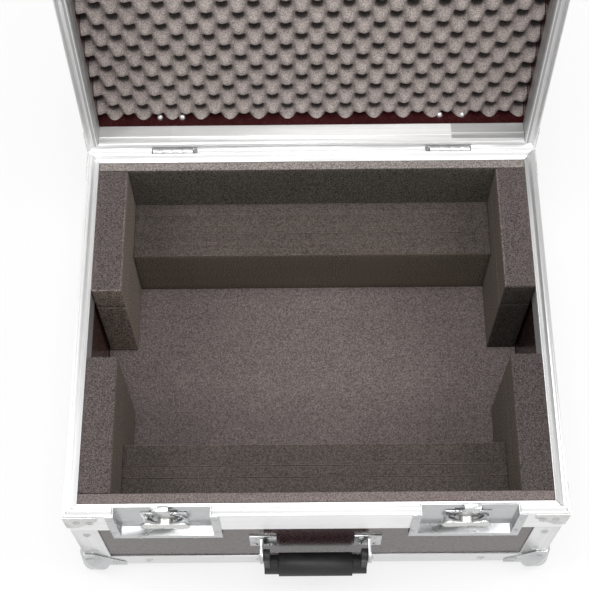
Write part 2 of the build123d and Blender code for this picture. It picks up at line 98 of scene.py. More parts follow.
class Run(Enum):
    """Direction that drawn lines, saw cuts or grain follow; round the sides turns at the mitres."""

    ALONG_X = 0
    ALONG_Y = 1
    UPRIGHT = 2
    ROUND = 3

    def spread(self, along: float, across: float) -> Triple:
        """Returns one value along the direction, or along X for round, and another across it."""
        return tuple(along if axis == self.value % 3 else across for axis in range(3))


class Half(Enum):
    """The half of the case that a piece belongs to, by the name of its CAD body."""

    BASE = "base"
    LID = "lid"


class Side(Enum):
    """A side of the case, by the word in its CAD nodes' names."""

    FRONT = "front"
    REAR = "rear"
    LEFT = "left"
    RIGHT = "right"


@dataclass(frozen=True)
class Tone:
    """A colour as it is read off a picture, 0 to 255 per channel."""

    red: float
    green: float
    blue: float

    def linear(self, gain: float = 1.0) -> Colour:
        """Returns the colour as the shaders take it.

        Args:
            gain: factor on all three channels.

        Returns:
            Linear red, green, blue and an alpha of 1.
        """
        channels = []
        for value in (self.red, self.green, self.blue):
            v = value / 255
            v = v / 12.92 if v <= 0.04045 else ((v + 0.055) / 1.055) ** 2.4
            channels.append(min(1.0, v * gain))
        return (*channels, 1.0)


@dataclass(frozen=True)
class CaseFrame:
    """Places that the looks share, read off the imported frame."""

    hinge: Vector
    opening: float
    half_x: float
    front_y: float
    rear_y: float
    parting_z: float

    @classmethod
    def read(cls, frame: dict) -> "CaseFrame":
        """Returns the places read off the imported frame.


        Returns:
            The shared places.
        """
        joint = next(j for j in frame["joints"] if j["name"] == "lid_hinge")
        low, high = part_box("base_rim_left")
        foam_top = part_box("rear_left_foam_block")[1].z
        opening = math.radians(joint["range_deg"][1])
        return cls(Vector(joint["pos_m"]), opening, -low.x, low.y, high.y, foam_top)

    @property
    def centre_y(self) -> float:
        """Returns the middle of the base, front to rear."""
        return (self.front_y + self.rear_y) / 2

    @property
    def half_y(self) -> float:
        """Returns half of the base's outside length, front to rear."""
        return (self.rear_y - self.front_y) / 2

    def opened(self, half: Half) -> Matrix:
        """Returns the move from the shut case to where the half stands.

        Args:
            half: the base stays, the lid turns about its hinge.

        Returns:
            A 4 x 4 matrix.
        """
        if half is Half.BASE:
            return Matrix.Identity(4)
        turn = Matrix.Rotation(-self.opening, 4, "X")
        return Matrix.Translation(self.hinge) @ turn @ Matrix.Translation(-self.hinge)


class Wiring:
    """Adds nodes to one tree and wires them."""

    def __init__(self, tree: bpy.types.NodeTree) -> None:
        """Takes the tree over, emptied."""
        self.tree = tree
        tree.nodes.clear()

    def add(self, kind: str, inputs: dict[Union[str, int], Source], **settings: object) -> Node:
        """Adds one node.

        Args:
            kind: Blender's name of the node type.
            inputs: a value or another node's output for each input socket.
            **settings: the node's own properties.

        Returns:
            The new node.
        """
        node = self.tree.nodes.new(kind)
        for key, value in settings.items():
            setattr(node, key, value)
        for key, value in inputs.items():
            if isinstance(value, Socket):
                self.tree.links.new(value, node.inputs[key])
            else:
                node.inputs[key].default_value = value
        return node

    def math(self, kind: str, a: Source, b: Source = 0.0) -> Socket:
        """Returns the output of a math node of that kind on a and b."""
        return self.add("ShaderNodeMath", {0: a, 1: b}, operation=kind).outputs[0]

    def plus(self, a: Source, b: Source) -> Socket:
        """Returns a and b added up."""
        return self.math("ADD", a, b)

    def less(self, a: Source, b: Source) -> Socket:
        """Returns a less b."""
        return self.math("SUBTRACT", a, b)

    def times(self, a: Source, b: Source) -> Socket:
        """Returns a multiplied by b."""
        return self.math("MULTIPLY", a, b)

    def split(self, vector: Source) -> Sequence[Socket]:
        """Returns the vector's three parts."""
        return self.add("ShaderNodeSeparateXYZ", {0: vector}).outputs


class ShaderTree(Wiring):
    """The nodes of one new material, which knows the half of the case that it is on."""

    def __init__(self, name: str, case: CaseFrame, half: Half) -> None:
        """Starts an empty material.

        Args:
            name: the material's name.
            case: the shared places.
            half: the half that the material is on.
        """
        self.case = case
        self.half = half
        self.material = bpy.data.materials.new(name)
        self.material.use_nodes = True
        super().__init__(self.material.node_tree)

    @cached_property
    def place(self) -> Socket:
        """Returns the object's own coordinates, with the lid's turned back to the shut case.

        Returns:
            A vector socket.
        """
        own = self.add("ShaderNodeTexCoord", {}).outputs["Object"]
        if self.half is Half.BASE:
            return own
        shut = self.case.opened(self.half).inverted()
        inputs = {"Vector": own, "Location": shut.translation, "Rotation": shut.to_euler()}
        return self.add("ShaderNodeMapping", inputs).outputs["Vector"]

    @cached_property
    def normal(self) -> Socket:
        """Returns the direction that the surface faces in the scene."""
        return self.add("ShaderNodeNewGeometry", {}).outputs["Normal"]

    def ramp(self, value: Source, low: float, high: float, to: Span = (0.0, 1.0)) -> Socket:
        """Returns value stretched from low..high to the range in to, held at its ends."""
        ends = {"Value": value, "From Min": low, "From Max": high, "To Min": to[0], "To Max": to[1]}
        return self.add("ShaderNodeMapRange", ends, clamp=True).outputs["Result"]

    def shaded(self, shade: Source, value: Source, low: float, high: float, gain: float) -> Socket:
        """Returns the shade, multiplied by gain where the value is past low and high."""
        return self.times(shade, self.ramp(value, low, high, (1.0, gain)))

    def mix(self, factor: Source, a: Source, b: Source, kind: str = "MIX") -> Socket:
        """Returns colour a mixed with colour b by the factor."""
        inputs = {0: factor, 6: a, 7: b}
        return self.add("ShaderNodeMix", inputs, data_type="RGBA", blend_type=kind).outputs[2]

    def mix_vector(self, factor: Source, a: Source, b: Source) -> Socket:
        """Returns vector a mixed with vector b by the factor."""
        return self.add("ShaderNodeMix", {0: factor, 4: a, 5: b}, data_type="VECTOR").outputs[1]

    def vector(self, kind: str, a: Source, b: Source) -> Sequence[Socket]:
        """Returns the outputs of a vector math node of that kind on a and b."""
        return self.add("ShaderNodeVectorMath", {0: a, 1: b}, operation=kind).outputs

    def gained(self, colour: Source, gain: Source) -> Socket:
        """Returns the colour with its three channels multiplied by one value."""
        grey = self.add("ShaderNodeCombineXYZ", {0: gain, 1: gain, 2: gain}).outputs[0]
        return self.mix(1.0, colour, grey, "MULTIPLY")

    def stretched(self, vector: Source, scale: Sequence[float]) -> Socket:
        """Returns the vector scaled along each axis."""
        return self.add("ShaderNodeMapping", {"Vector": vector, "Scale": scale}).outputs["Vector"]

    def noise(self, vector: Source, scale: float, detail: float = 2.0, rough: float = 0.5) -> Socket:
        """Returns a noise texture's value on that vector."""
        inputs = {"Vector": vector, "Scale": scale, "Detail": detail, "Roughness": rough}
        return self.add("ShaderNodeTexNoise", inputs).outputs[0]

    def open_direction(self, direction: Sequence[float]) -> Triple:
        """Returns a direction on the shut case, turned open with the half."""
        return tuple(self.case.opened(self.half).to_3x3() @ Vector(direction))

    def in_scene(self, direction: Source) -> Socket:
        """Returns a direction of the object's as one of the scene's."""
        settings = {"vector_type": "VECTOR", "convert_from": "OBJECT", "convert_to": "WORLD"}
        return self.add("ShaderNodeVectorTransform", {0: direction}, **settings).outputs[0]

    def finish(self, relief: tuple[Source, float, float], **inputs: Source) -> None:
        """Ends the tree in a principled surface.

        Args:
            relief: height, strength and distance of the bump.
            **inputs: socket names with underscores for spaces.
        """
        height, strength, distance = relief
        bump = self.add("ShaderNodeBump", {"Height": height, "Strength": strength, "Distance": distance})
        named = {key.replace("_", " "): value for key, value in inputs.items()}
        shader = self.add("ShaderNodeBsdfPrincipled", {"Normal": bump.outputs[0], **named})
        self.add("ShaderNodeOutputMaterial", {"Surface": shader.outputs[0]})


@dataclass(frozen=True)
class Finish:
    """What a surface is made of; each kind paints its own material."""

    name: str

    def label(self, half: Half) -> str:
        """Returns the name of the material on that half."""
        return f"{self.name}_{half.value}"

    def paint(self, t: ShaderTree) -> None:
        """Adds the finish's nodes to a new material's tree."""
        raise NotImplementedError(self.name)


@dataclass(frozen=True)
class FoamFinish(Finish):
    """Closed-cell foam cut with a saw: fine cells, light and dark specks, faint saw lines, and painted light
    and shade by the way each face looks and by where it lies.
    """

    tone: Tone
    run: Run = Run.ALONG_X
    cell: float = 1.05 * MM
    speckle: float = 0.55
    wall_speckle: float = 0.95
    # Painted shade: upright faces get a warmer, shaded tint.
    wall_shade_tint: Span = (0.985, 0.87)
    lines: float = 0.10
    line_stretch: float = 0.005
    grain: Triple = (0.8, 3.0, 0.65)
    cloud: Triple = (14.0, 3.0, 0.6)
    saw: Triple = (620.0, 2.0, 0.7)
    relief: Span = (0.55, 0.35 * MM)
    # Painted light and shade on the faces that look along X.
    side_light_gain: float = 1.0
    # Partly the foam's own tone and partly painted shade: a gain on the colour of every face.
    tone_and_shade_gain: float = 1.0
    # Painted light and shade on the upward faces and on the rounded shoulders.
    top_light_gain: float = 1.0
    shoulder_light_gain: float = 1.0
    # Painted shade that darkens past a level along Z: deep in the cones' valleys.
    pit_shade: Triple = (0.0, 0.0, 1.0)
    # Painted light and shade that changes along Y, at the front.
    front_light_gain: Triple = (0.0, 0.0, 1.0)
    upward: Span = (0.3, 0.6)
    on_shoulder: Span = (0.15, 0.45)
    straight: Span = (0.80, 0.97)

    def label(self, half: Half) -> str:
        """Returns the finish's own name, because no foam finish is on both halves."""
        return self.name

    def paint(self, t: ShaderTree) -> None:
        """Adds the foam's nodes.

        Args:
            t: the material's tree.
        """
        cells = t.add("ShaderNodeTexVoronoi", {"Vector": t.place, "Scale": 1 / self.cell, "Randomness": 1.0})
        cells = cells.outputs["Distance"]
        per_cell, *detail = self.grain
        grain = t.noise(t.place, per_cell / self.cell, *detail)
        cloud = t.noise(t.place, *self.cloud)
        line = t.noise(t.stretched(t.place, self.run.spread(self.line_stretch, 1.0)), *self.saw)
        sideways, _, faces_up = t.split(t.normal)
        swing = t.times(t.ramp(grain, 0.36, 0.64, (-1.0, 1.0)),
                        t.ramp(faces_up, *self.upward, (self.wall_speckle, self.speckle)))
        # Partly the foam's own tone and partly painted shade: the colour of every face times a gain.
        ground = self.tone.linear(self.tone_and_shade_gain)
        # Painted shade: the upright faces take the shaded tint, and the upward ones keep the plain tone.
        wall = (ground[0], ground[1] * self.wall_shade_tint[0], ground[2] * self.wall_shade_tint[1], 1.0)
        ground = t.mix(t.ramp(faces_up, *self.upward), wall, ground)
        colour = t.gained(ground, t.plus(swing, 1.0))
        speck = t.ramp(cells, 0.10, 0.26, (1.0, 0.0))
        rare = t.ramp(t.noise(t.place, 0.55 / self.cell, 1.0), 0.52, 0.58)
        colour = t.mix(t.times(speck, t.times(rare, 0.85)), colour, self.tone.linear(3.0))
        shade = t.plus(t.ramp(line, *MIDDLE, (1 - self.lines, 1 + self.lines)),
                       t.ramp(cloud, 0.25, 0.75, (-0.05, 0.05)))
        # Painted light and shade: the shoulders, the upward faces and the faces that look along X are made
        # lighter or darker.
        shade = t.shaded(shade, faces_up, *self.on_shoulder, self.shoulder_light_gain)
        shade = t.shaded(shade, faces_up, *self.straight, self.top_light_gain / self.shoulder_light_gain)
        shade = t.shaded(shade, t.math("ABSOLUTE", sideways), *self.straight, self.side_light_gain)
        # Painted shade deep in the cones' valleys, and painted light and shade at the front, along Y.
        for axis, (start, stop, gain) in ((2, self.pit_shade), (1, self.front_light_gain)):
            if gain != 1.0:
                low, high, to = (start, stop, (1.0, gain)) if start < stop else (stop, start, (gain, 1.0))
                shade = t.times(shade, t.ramp(t.split(t.place)[axis], low, high, to))
        height = t.plus(t.plus(t.times(grain, 0.7), t.times(cells, 0.5)), t.times(line, 0.35))
        t.finish((height, *self.relief), Base_Color=t.gained(colour, shade), Roughness=0.93,
                 Specular_IOR_Level=0.25)


@dataclass(frozen=True)
class ExtrusionFinish(Finish):
    """Satin anodised aluminium section with fine lines from the die along its length, and painted shade and
    reflection in bands and on its inner faces.
    """

    run: Run
    tone: Tone = Tone(250, 250, 250)
    roughness: float = 0.38
    anisotropy: float = 0.95
    metallic: float = 0.62
    line_stretch: float = 0.005
    fine: Triple = (2600.0, 2.0, 0.7)
    broad: Triple = (420.0, 2.0, 0.6)
    patch: Triple = (22.0, 3.0, 0.6)
    scuff: Triple = (160.0, 4.0, 0.75)
    relief: Span = (0.35, 0.04 * MM)
    # Painted shade: the rims' inner upright faces are darker.
    inner_shade_gain: float = 1.0
    inner_from: Span = (8 * MM, 9 * MM)
    # Painted shade and reflection: bands across the section, by depth from the outside.
    shade_bands: tuple[Triple, ...] = ()
    # Painted shade in one band, fading out towards the rear.
    near_shade_band: Triple = (0.0, 0.0, 1.0)
    near_fade: Span = (-60 * MM, 60 * MM)
    band_blur: float = 0.2 * MM
    # Painted shade at the shelf's ends, which the reflection lighting its middle misses; one line along the
    # shelf stays light, a painted highlight.
    end_shade_gains: Span = (1.0, 1.0)
    end_from: Span = (143 * MM, 144 * MM)
    shelf: Span = (5 * MM, 25 * MM)
    shelf_highlight_line: Span = (11 * MM, 13 * MM)
    mitre_line: Span = (0.10 * MM, 0.35 * MM)
    mitre_colour: Colour = (0.05, 0.05, 0.05, 1)
    off_axis: Triple = (0.003, 0.002, 0.004)

    def highlights(self, t: ShaderTree, on_side: Source) -> Socket:
        """Returns the direction in which highlights are drawn out, across the section's fine lines.

        Args:
            t: the material's tree.
            on_side: 1 on the left and right sides, 0 on the front and rear.

        Returns:
            A vector socket.
        """
        line = t.open_direction(self.run.spread(1, 0))
        if self.run is Run.ROUND:
            line = t.mix_vector(on_side, line, t.open_direction((0, 1, 0)))
        across = t.vector("CROSS_PRODUCT", t.normal, t.in_scene(line))[0]
        return t.vector("ADD", across, self.off_axis)[0]

    def between(self, t: ShaderTree, value: Source, start: float, stop: float) -> Socket:
        """Returns 1 where a value lies in a band and 0 elsewhere.

        Args:
            t: the material's tree.
            value: the value in metres.
            start: where the band starts.
            stop: where it ends.

        Returns:
            A value socket.
        """
        blur = self.band_blur
        return t.times(t.ramp(value, start - blur, start + blur),
                       t.ramp(value, stop - blur, stop + blur, (1.0, 0.0)))

    def paint(self, t: ShaderTree) -> None:
        """Adds the section's nodes.

        Args:
            t: the material's tree.
        """
        x, y, z = t.split(t.place)
        beside = t.less(t.math("ABSOLUTE", x), t.case.half_x)
        before = t.less(t.math("ABSOLUTE", t.less(y, t.case.centre_y)), t.case.half_y)
        over = t.less(beside, before)
        on_side = t.math("GREATER_THAN", over, 0.0)
        along = t.place
        if self.run is Run.ROUND:
            along = t.mix_vector(on_side, along, t.add("ShaderNodeCombineXYZ", {0: y, 1: x, 2: z}).outputs[0])
        drawn = t.stretched(along, self.run.spread(self.line_stretch, 1.0))
        fine, broad = t.noise(drawn, *self.fine), t.noise(drawn, *self.broad)
        patch = t.noise(t.place, *self.patch)
        scuff = t.ramp(t.noise(t.place, *self.scuff), 0.62, 0.74)
        colour = t.mix(t.ramp(broad, *MIDDLE), self.tone.linear(0.90), self.tone.linear(1.0))
        colour = t.mix(t.ramp(patch, 0.35, 0.7, (0.0, 0.25)), colour, self.tone.linear(0.80))
        depth = t.times(t.math("MAXIMUM", beside, before), -1.0)
        upright = t.in_scene(t.open_direction((0, 0, 1)))
        sideways = t.less(1.0, t.math("ABSOLUTE", t.vector("DOT_PRODUCT", t.normal, upright)["Value"]))
        # Painted shade on the inner upright faces.
        inner = t.times(t.ramp(depth, *self.inner_from), t.ramp(sideways, 0.6, 0.9))
        shade = t.ramp(inner, 0.0, 1.0, (1.0, self.inner_shade_gain))
        # Painted shade and reflection in bands across the section.
        for start, stop, gain in self.shade_bands:
            shade = t.shaded(shade, self.between(t, depth, start, stop), 0.0, 1.0, gain)
        # Painted shade in one band on the near part, fading out towards the rear.
        start, stop, gain = self.near_shade_band
        if gain != 1.0:
            near = t.times(self.between(t, depth, start, stop), t.ramp(y, *self.near_fade, (1.0, 0.0)))
            shade = t.shaded(shade, near, 0.0, 1.0, gain)
        # Painted shade on the shelf's ends, with one line along it kept light as a painted highlight.
        if self.end_shade_gains != (1.0, 1.0):
            rise = t.less(z, t.case.parting_z)
            line = self.between(t, rise, *self.shelf_highlight_line)
            bare = t.times(self.between(t, rise, *self.shelf), t.less(1.0, line))
            for side, gain in zip(SIDES, self.end_shade_gains):
                out = t.times(t.ramp(t.times(x, side), *self.end_from), bare)
                shade = t.shaded(shade, out, 0.0, 1.0, gain)
        colour = t.gained(colour, shade)
        mitre = t.ramp(t.math("ABSOLUTE", over), *self.mitre_line, (0.75, 0.0))
        colour = t.mix(mitre, colour, self.mitre_colour)
        rough = t.ramp(fine, *MIDDLE, (self.roughness - 0.05, self.roughness + 0.06))
        rough = t.plus(rough, t.times(scuff, 0.10))
        height = t.plus(t.times(fine, 0.4), t.times(broad, 0.6))
        t.finish((height, *self.relief), Base_Color=colour, Metallic=self.metallic, Roughness=rough,
                 Anisotropic=self.anisotropy, Tangent=self.highlights(t, on_side))


@dataclass(frozen=True)
class PlatedFinish(Finish):
    """Zinc or nickel plated steel with a fine tumbled grain and a few handling marks."""

    tone: Tone = Tone(211, 211, 209)
    roughness: float = 0.26
    metallic: float = 0.75
    grain: Triple = (1900.0, 3.0, 0.7)
    patch: Triple = (55.0, 4.0, 0.65)
    scratch: Triple = (900.0, 2.0, 0.6)
    scratch_run: Triple = (1.0, 0.05, 0.4)
    relief: Span = (0.25, 0.03 * MM)

    def paint(self, t: ShaderTree) -> None:
        """Adds the plated steel's nodes.

        Args:
            t: the material's tree.
        """
        grain, patch = t.noise(t.place, *self.grain), t.noise(t.place, *self.patch)
        scratch = t.noise(t.stretched(t.place, self.scratch_run), *self.scratch)
        colour = t.mix(t.ramp(patch, *MIDDLE), self.tone.linear(0.86), self.tone.linear(1.02))
        marks = t.ramp(scratch, 0.66, 0.74, (0.0, 0.35))
        rough = t.plus(t.ramp(patch, 0.25, 0.75, (self.roughness - 0.06, self.roughness + 0.10)),
                       t.times(marks, 0.3))
        t.finish((grain, *self.relief), Base_Color=t.mix(marks, colour, self.tone.linear(0.55)),
                 Metallic=self.metallic, Roughness=rough)


@dataclass(frozen=True)
class FilmPlyFinish(Finish):
    """Plywood faced with dark red-brown phenolic film: glossy, with the veneer showing faintly."""

    tone: Tone = Tone(54, 20, 22)
    scuffed: Tone = Tone(110, 84, 82)
    # Painted shade: the base panels' inner faces are darker, the right side more.
    inside: tuple[Tone, Tone] = (Tone(54, 30, 26), Tone(26, 14, 12))
    panel: Span = (6 * MM, 7 * MM)
    inside_shade_left_to_right: Span = (-0.1, 0.1)
    veneer: Triple = (95.0, 5.0, 0.62)
    veneer_run: Triple = (0.12, 1.0, 1.0)
    mottle: Triple = (240.0, 3.0, 0.6)
    scuff: Triple = (210.0, 4.0, 0.7)
    scuff_run: Triple = (0.35, 0.08, 1.0)
    relief: Span = (0.30, 0.12 * MM)

    def paint(self, t: ShaderTree) -> None:
        """Adds the film's nodes.

        Args:
            t: the material's tree.
        """
        veneer = t.noise(t.stretched(t.place, self.veneer_run), *self.veneer)
        mottle = t.noise(t.place, *self.mottle)
        scuff = t.ramp(t.noise(t.stretched(t.place, self.scuff_run), *self.scuff), 0.66, 0.78)
        ground = self.tone.linear()
        # Painted shade on the base panels' inner faces, darker towards the right.
        if t.half is Half.BASE:
            x = t.split(t.place)[0]
            depth = t.less(t.case.half_x, t.math("ABSOLUTE", x))
            left, right = (tone.linear() for tone in self.inside)
            inside_shade = t.mix(t.ramp(x, *self.inside_shade_left_to_right), left, right)
            sideways = t.math("ABSOLUTE", t.split(t.normal)[0])
            ground = t.mix(t.times(t.ramp(depth, *self.panel), t.ramp(sideways, 0.7, 0.9)), ground, inside_shade)
        colour = t.gained(ground, t.ramp(veneer, *MIDDLE, (0.72, 1.25)))
        colour = t.mix(t.ramp(mottle, 0.4, 0.7, (0.0, 0.35)), colour, self.tone.linear(0.6))
        colour = t.mix(t.times(scuff, 0.25), colour, self.scuffed.linear())
        rough = t.plus(t.ramp(mottle, *MIDDLE, (0.20, 0.30)), t.times(scuff, 0.25))
        height = t.plus(t.times(veneer, 0.7), t.times(mottle, 0.3))
        t.finish((height, *self.relief), Base_Color=colour, Roughness=rough, Specular_IOR_Level=0.27,
                 Coat_Weight=0.15, Coat_Roughness=0.15)


@dataclass(frozen=True)
class RubberFinish(Finish):
    """Moulded rubber, grip plastic, and grey discs that stand for shade in the hinge notches, with a fine
    spark texture and dusty high spots.
    """

    tone: Tone = Tone(38, 37, 37)
    roughness: float = 0.62
    spark: Triple = (1500.0, 4.0, 0.7)
    dust: Triple = (70.0, 4.0, 0.65)
    relief: Span = (0.5, 0.10 * MM)

    def paint(self, t: ShaderTree) -> None:
        """Adds the rubber's nodes.

        Args:
            t: the material's tree.
        """
        spark, dust = t.noise(t.place, *self.spark), t.noise(t.place, *self.dust)
        colour = t.mix(t.ramp(dust, 0.35, 0.75), self.tone.linear(0.8), self.tone.linear(1.5))
        rough = t.ramp(dust, *MIDDLE, (self.roughness - 0.08, self.roughness + 0.12))
        t.finish((spark, *self.relief), Base_Color=colour, Roughness=rough, Specular_IOR_Level=0.4)


@dataclass(frozen=True)
class StageFinish(Finish):
    """White floor that keeps a soft shadow and reads as white to the camera."""

    white: float = 0.88
    share: float = 0.75

    def label(self, half: Half) -> str:
        """Returns the finish's own name, because the floor is on neither half."""
        return self.name

    def paint(self, t: ShaderTree) -> None:
        """Adds the floor's nodes.

        Args:
            t: the material's tree.
        """
        matt = t.add("ShaderNodeBsdfDiffuse", {"Color": (self.white, self.white, self.white, 1)})
        glow = t.add("ShaderNodeEmission", {"Color": (1, 1, 1, 1), "Strength": 1.0})
        path = t.add("ShaderNodeLightPath", {}).outputs
        factor = t.times(t.plus(path["Is Camera Ray"], path["Is Glossy Ray"]), self.share)
        mixed = t.add("ShaderNodeMixShader", {0: factor, 1: matt.outputs[0], 2: glow.outputs[0]})
        t.add("ShaderNodeOutputMaterial", {"Surface": mixed.outputs[0]})


@dataclass
class FinishShelf:
    """Makes each finish once for each half of the case and puts it on nodes and pieces."""

    case: CaseFrame
    made: dict[tuple[str, Half], bpy.types.Material] = field(default_factory=dict)
    flat_deg: float = 0.5
    edge_deg: float = 38
    edge_segments: int = 2

    def take(self, finish: Finish, half: Half) -> bpy.types.Material:
        """Returns the material of a finish on one half, made at its first use.

        Args:
            finish: one of the finishes.
            half: which half of the case it goes on.

        Returns:
            The material.
        """
        key = (finish.name, half)
        if key not in self.made:
            tree = ShaderTree(finish.label(half), self.case, half)
            finish.paint(tree)
            self.made[key] = tree.material
        return self.made[key]

    def dress(self, node: Object, finish: Finish, edge: float = 0.0) -> None:
        """Gives a CAD node its finish, and breaks its sharp edges with modifiers.

        Args:
            node: the CAD node's object, whose mesh stays as it is.
            finish: one of the finishes.
            edge: width of the broken edges in metres, 0 for none.
        """
        half = Half.LID if node["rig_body"] == Half.LID.value else Half.BASE
        log.info("dressed %s in %s", node.name, finish.name)
        node.data.materials.clear()
        node.data.materials.append(self.take(finish, half))
        if not edge:
            return
        for polygon in node.data.polygons:
            polygon.use_smooth = True
        weld = node.modifiers.new("weld", "WELD")
        weld.merge_threshold = 2 * WELD
        flat = node.modifiers.new("flat_faces", "DECIMATE")
        flat.decimate_type = "DISSOLVE"
        flat.angle_limit = math.radians(self.flat_deg)
        bevel = node.modifiers.new("broken_edges", "BEVEL")
        bevel.width = edge
        bevel.segments = self.edge_segments
        bevel.limit_method = "ANGLE"
        bevel.angle_limit = math.radians(self.edge_deg)
        bevel.use_clamp_overlap = False
        bevel.harden_normals = True
        bevel.miter_outer = "MITER_ARC"

    def piece(self, mesh: Mesh, finish: Finish, half: Half, slot: str, sharp: float) -> Object:
        """Links a finished mesh as a piece of the same name that rides on one half.

        Args:
            mesh: the piece's mesh, already in place.
            finish: one of the finishes.
            half: the half that carries the piece.
            slot: not used.
            sharp: edges sharper than this, in degrees, stay crisp.

        Returns:
            The new object.
        """
        for polygon in mesh.polygons:
            polygon.use_smooth = True
        mesh.set_sharp_from_angle(angle=math.radians(sharp))
        mesh.materials.clear()
        mesh.materials.append(self.take(finish, half))
        piece = bpy.data.objects.new(mesh.name, mesh)
        bpy.context.scene.collection.objects.link(piece)
        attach(piece, half.value)
        log.info("%s: %d faces", piece.name, len(mesh.polygons))
        return piece

    def foam(self, mesh: Mesh, node: str, finish: FoamFinish, half: Half, sharp: float) -> None:
        """Links a foam mesh as a piece and hides the CAD node that it stands for.

        Args:
            mesh: the piece's mesh, already in place.
            node: the CAD node's name.
            finish: the foam's finish.
            half: the half that carries the piece.
            sharp: edges sharper than this, in degrees, stay crisp.
        """
        piece = self.piece(mesh, finish, half, "foam", sharp)
        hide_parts(node)


def plain_mesh(shape: bmesh.types.BMesh, name: str) -> Mesh:
    """Returns the shape as a new mesh and frees it.

    Args:
        shape: the finished shape.
        name: the mesh's name.

    Returns:
        The mesh.
    """
    mesh = bpy.data.meshes.new(name)
    shape.to_mesh(mesh)
    shape.free()
    return mesh


def turned(name: str, copies: Sequence[tuple[Levels, Matrix]]) -> Mesh:
    """Returns shapes turned about Z and put in place, welded and closed at their ends.

    Args:
        name: the mesh's name.
        copies: for each shape its levels, with the reach from the axis at even angles and the height
            along Z, and its place.

    Returns:
        One mesh with all shapes.
    """
    shape = bmesh.new()
    for levels, place in copies:
        rings = []
        for reaches, height in levels:
            ring = []
            for i, reach in enumerate(reaches):
                angle = math.tau * i / len(reaches)
                point = Vector((reach * math.cos(angle), reach * math.sin(angle), height))
                ring.append(shape.verts.new(place @ point))
            rings.append(ring)
        for upper, lower in zip(rings, rings[1:]):
            for i in range(-1, len(upper) - 1):
                shape.faces.new((upper[i], lower[i], lower[i + 1], upper[i + 1]))
        if max(levels[-1][0]) > 0:
            shape.faces.new(rings[-1][::-1])
    bmesh.ops.remove_doubles(shape, verts=shape.verts[:], dist=WELD)
    bmesh.ops.recalc_face_normals(shape, faces=shape.faces[:])
    return plain_mesh(shape, name)


@dataclass(frozen=True)
class Slab:
    """One sawn slab of foam, with slightly rounded edges and an uneven face."""

    low: Vector
    high: Vector
    edge: float = 0.9 * MM
    shoulder: float = 0.0
    shoulder_side: int = 0
    cell: float = 7 * MM
    uneven: float = 0.45 * MM
    corner_deg: float = 60
    waves: tuple[Span, ...] = ((28, 0.6), (95, 0.4))

    def add_to(self, mesh: bmesh.types.BMesh) -> None:
        """Adds the slab to a mesh.

        Args:
            mesh: what the slab is added to.
        """
        own = bmesh.new()
        size = self.high - self.low
        middle = (self.high + self.low) / 2
        place = Matrix.Translation(middle) @ Matrix.Diagonal((*size, 1.0))
        bmesh.ops.create_cube(own, size=1.0, matrix=place)
        if self.shoulder:
            side = self.high.x if self.shoulder_side > 0 else self.low.x
            top = [e for e in own.edges if all(
                abs(v.co.x - side) < WELD and abs(v.co.z - self.high.z) < WELD for v in e.verts)]
            bmesh.ops.bevel(own, geom=top, offset=self.shoulder, segments=3, profile=0.5, affect="EDGES")
        sharp = [e for e in own.edges if e.calc_face_angle(0.0) > math.radians(self.corner_deg)]
        bmesh.ops.bevel(own, geom=sharp, offset=self.edge, segments=2, profile=0.5, affect="EDGES")
        for axis in range(3):
            count = max(1, round(size[axis] / self.cell))
            normal = Vector((0, 0, 0))
            normal[axis] = 1.0
            for step in range(1, count):
                at = middle.copy()
                at[axis] = self.low[axis] + size[axis] * step / count
                everything = own.verts[:] + own.edges[:] + own.faces[:]
                bmesh.ops.bisect_plane(own, geom=everything, plane_co=at, plane_no=normal)
        own.normal_update()
        for vert in own.verts:
            wave = sum(share * noise.noise(vert.co * pitch) for pitch, share in self.waves)
            vert.co -= vert.normal * self.uneven * (0.5 + 0.5 * wave)
        part = plain_mesh(own, "slab")
        mesh.from_mesh(part)
        bpy.data.meshes.remove(part)


@dataclass(frozen=True)
class Block:
    """Painted light and shade of one side block: gains on its tone for its cut faces, partly its own tone,
    and for its top, its front end and its inward wall.
    """

    cut: float
    top: float
    end_light: float
    wall: float


@dataclass(frozen=True)
class Step:
    """One step: its strips' widths, their rounded edges, the open seams and the painted shade on its top."""

    widths: Triple
    edge: float
    seam: float
    top: float


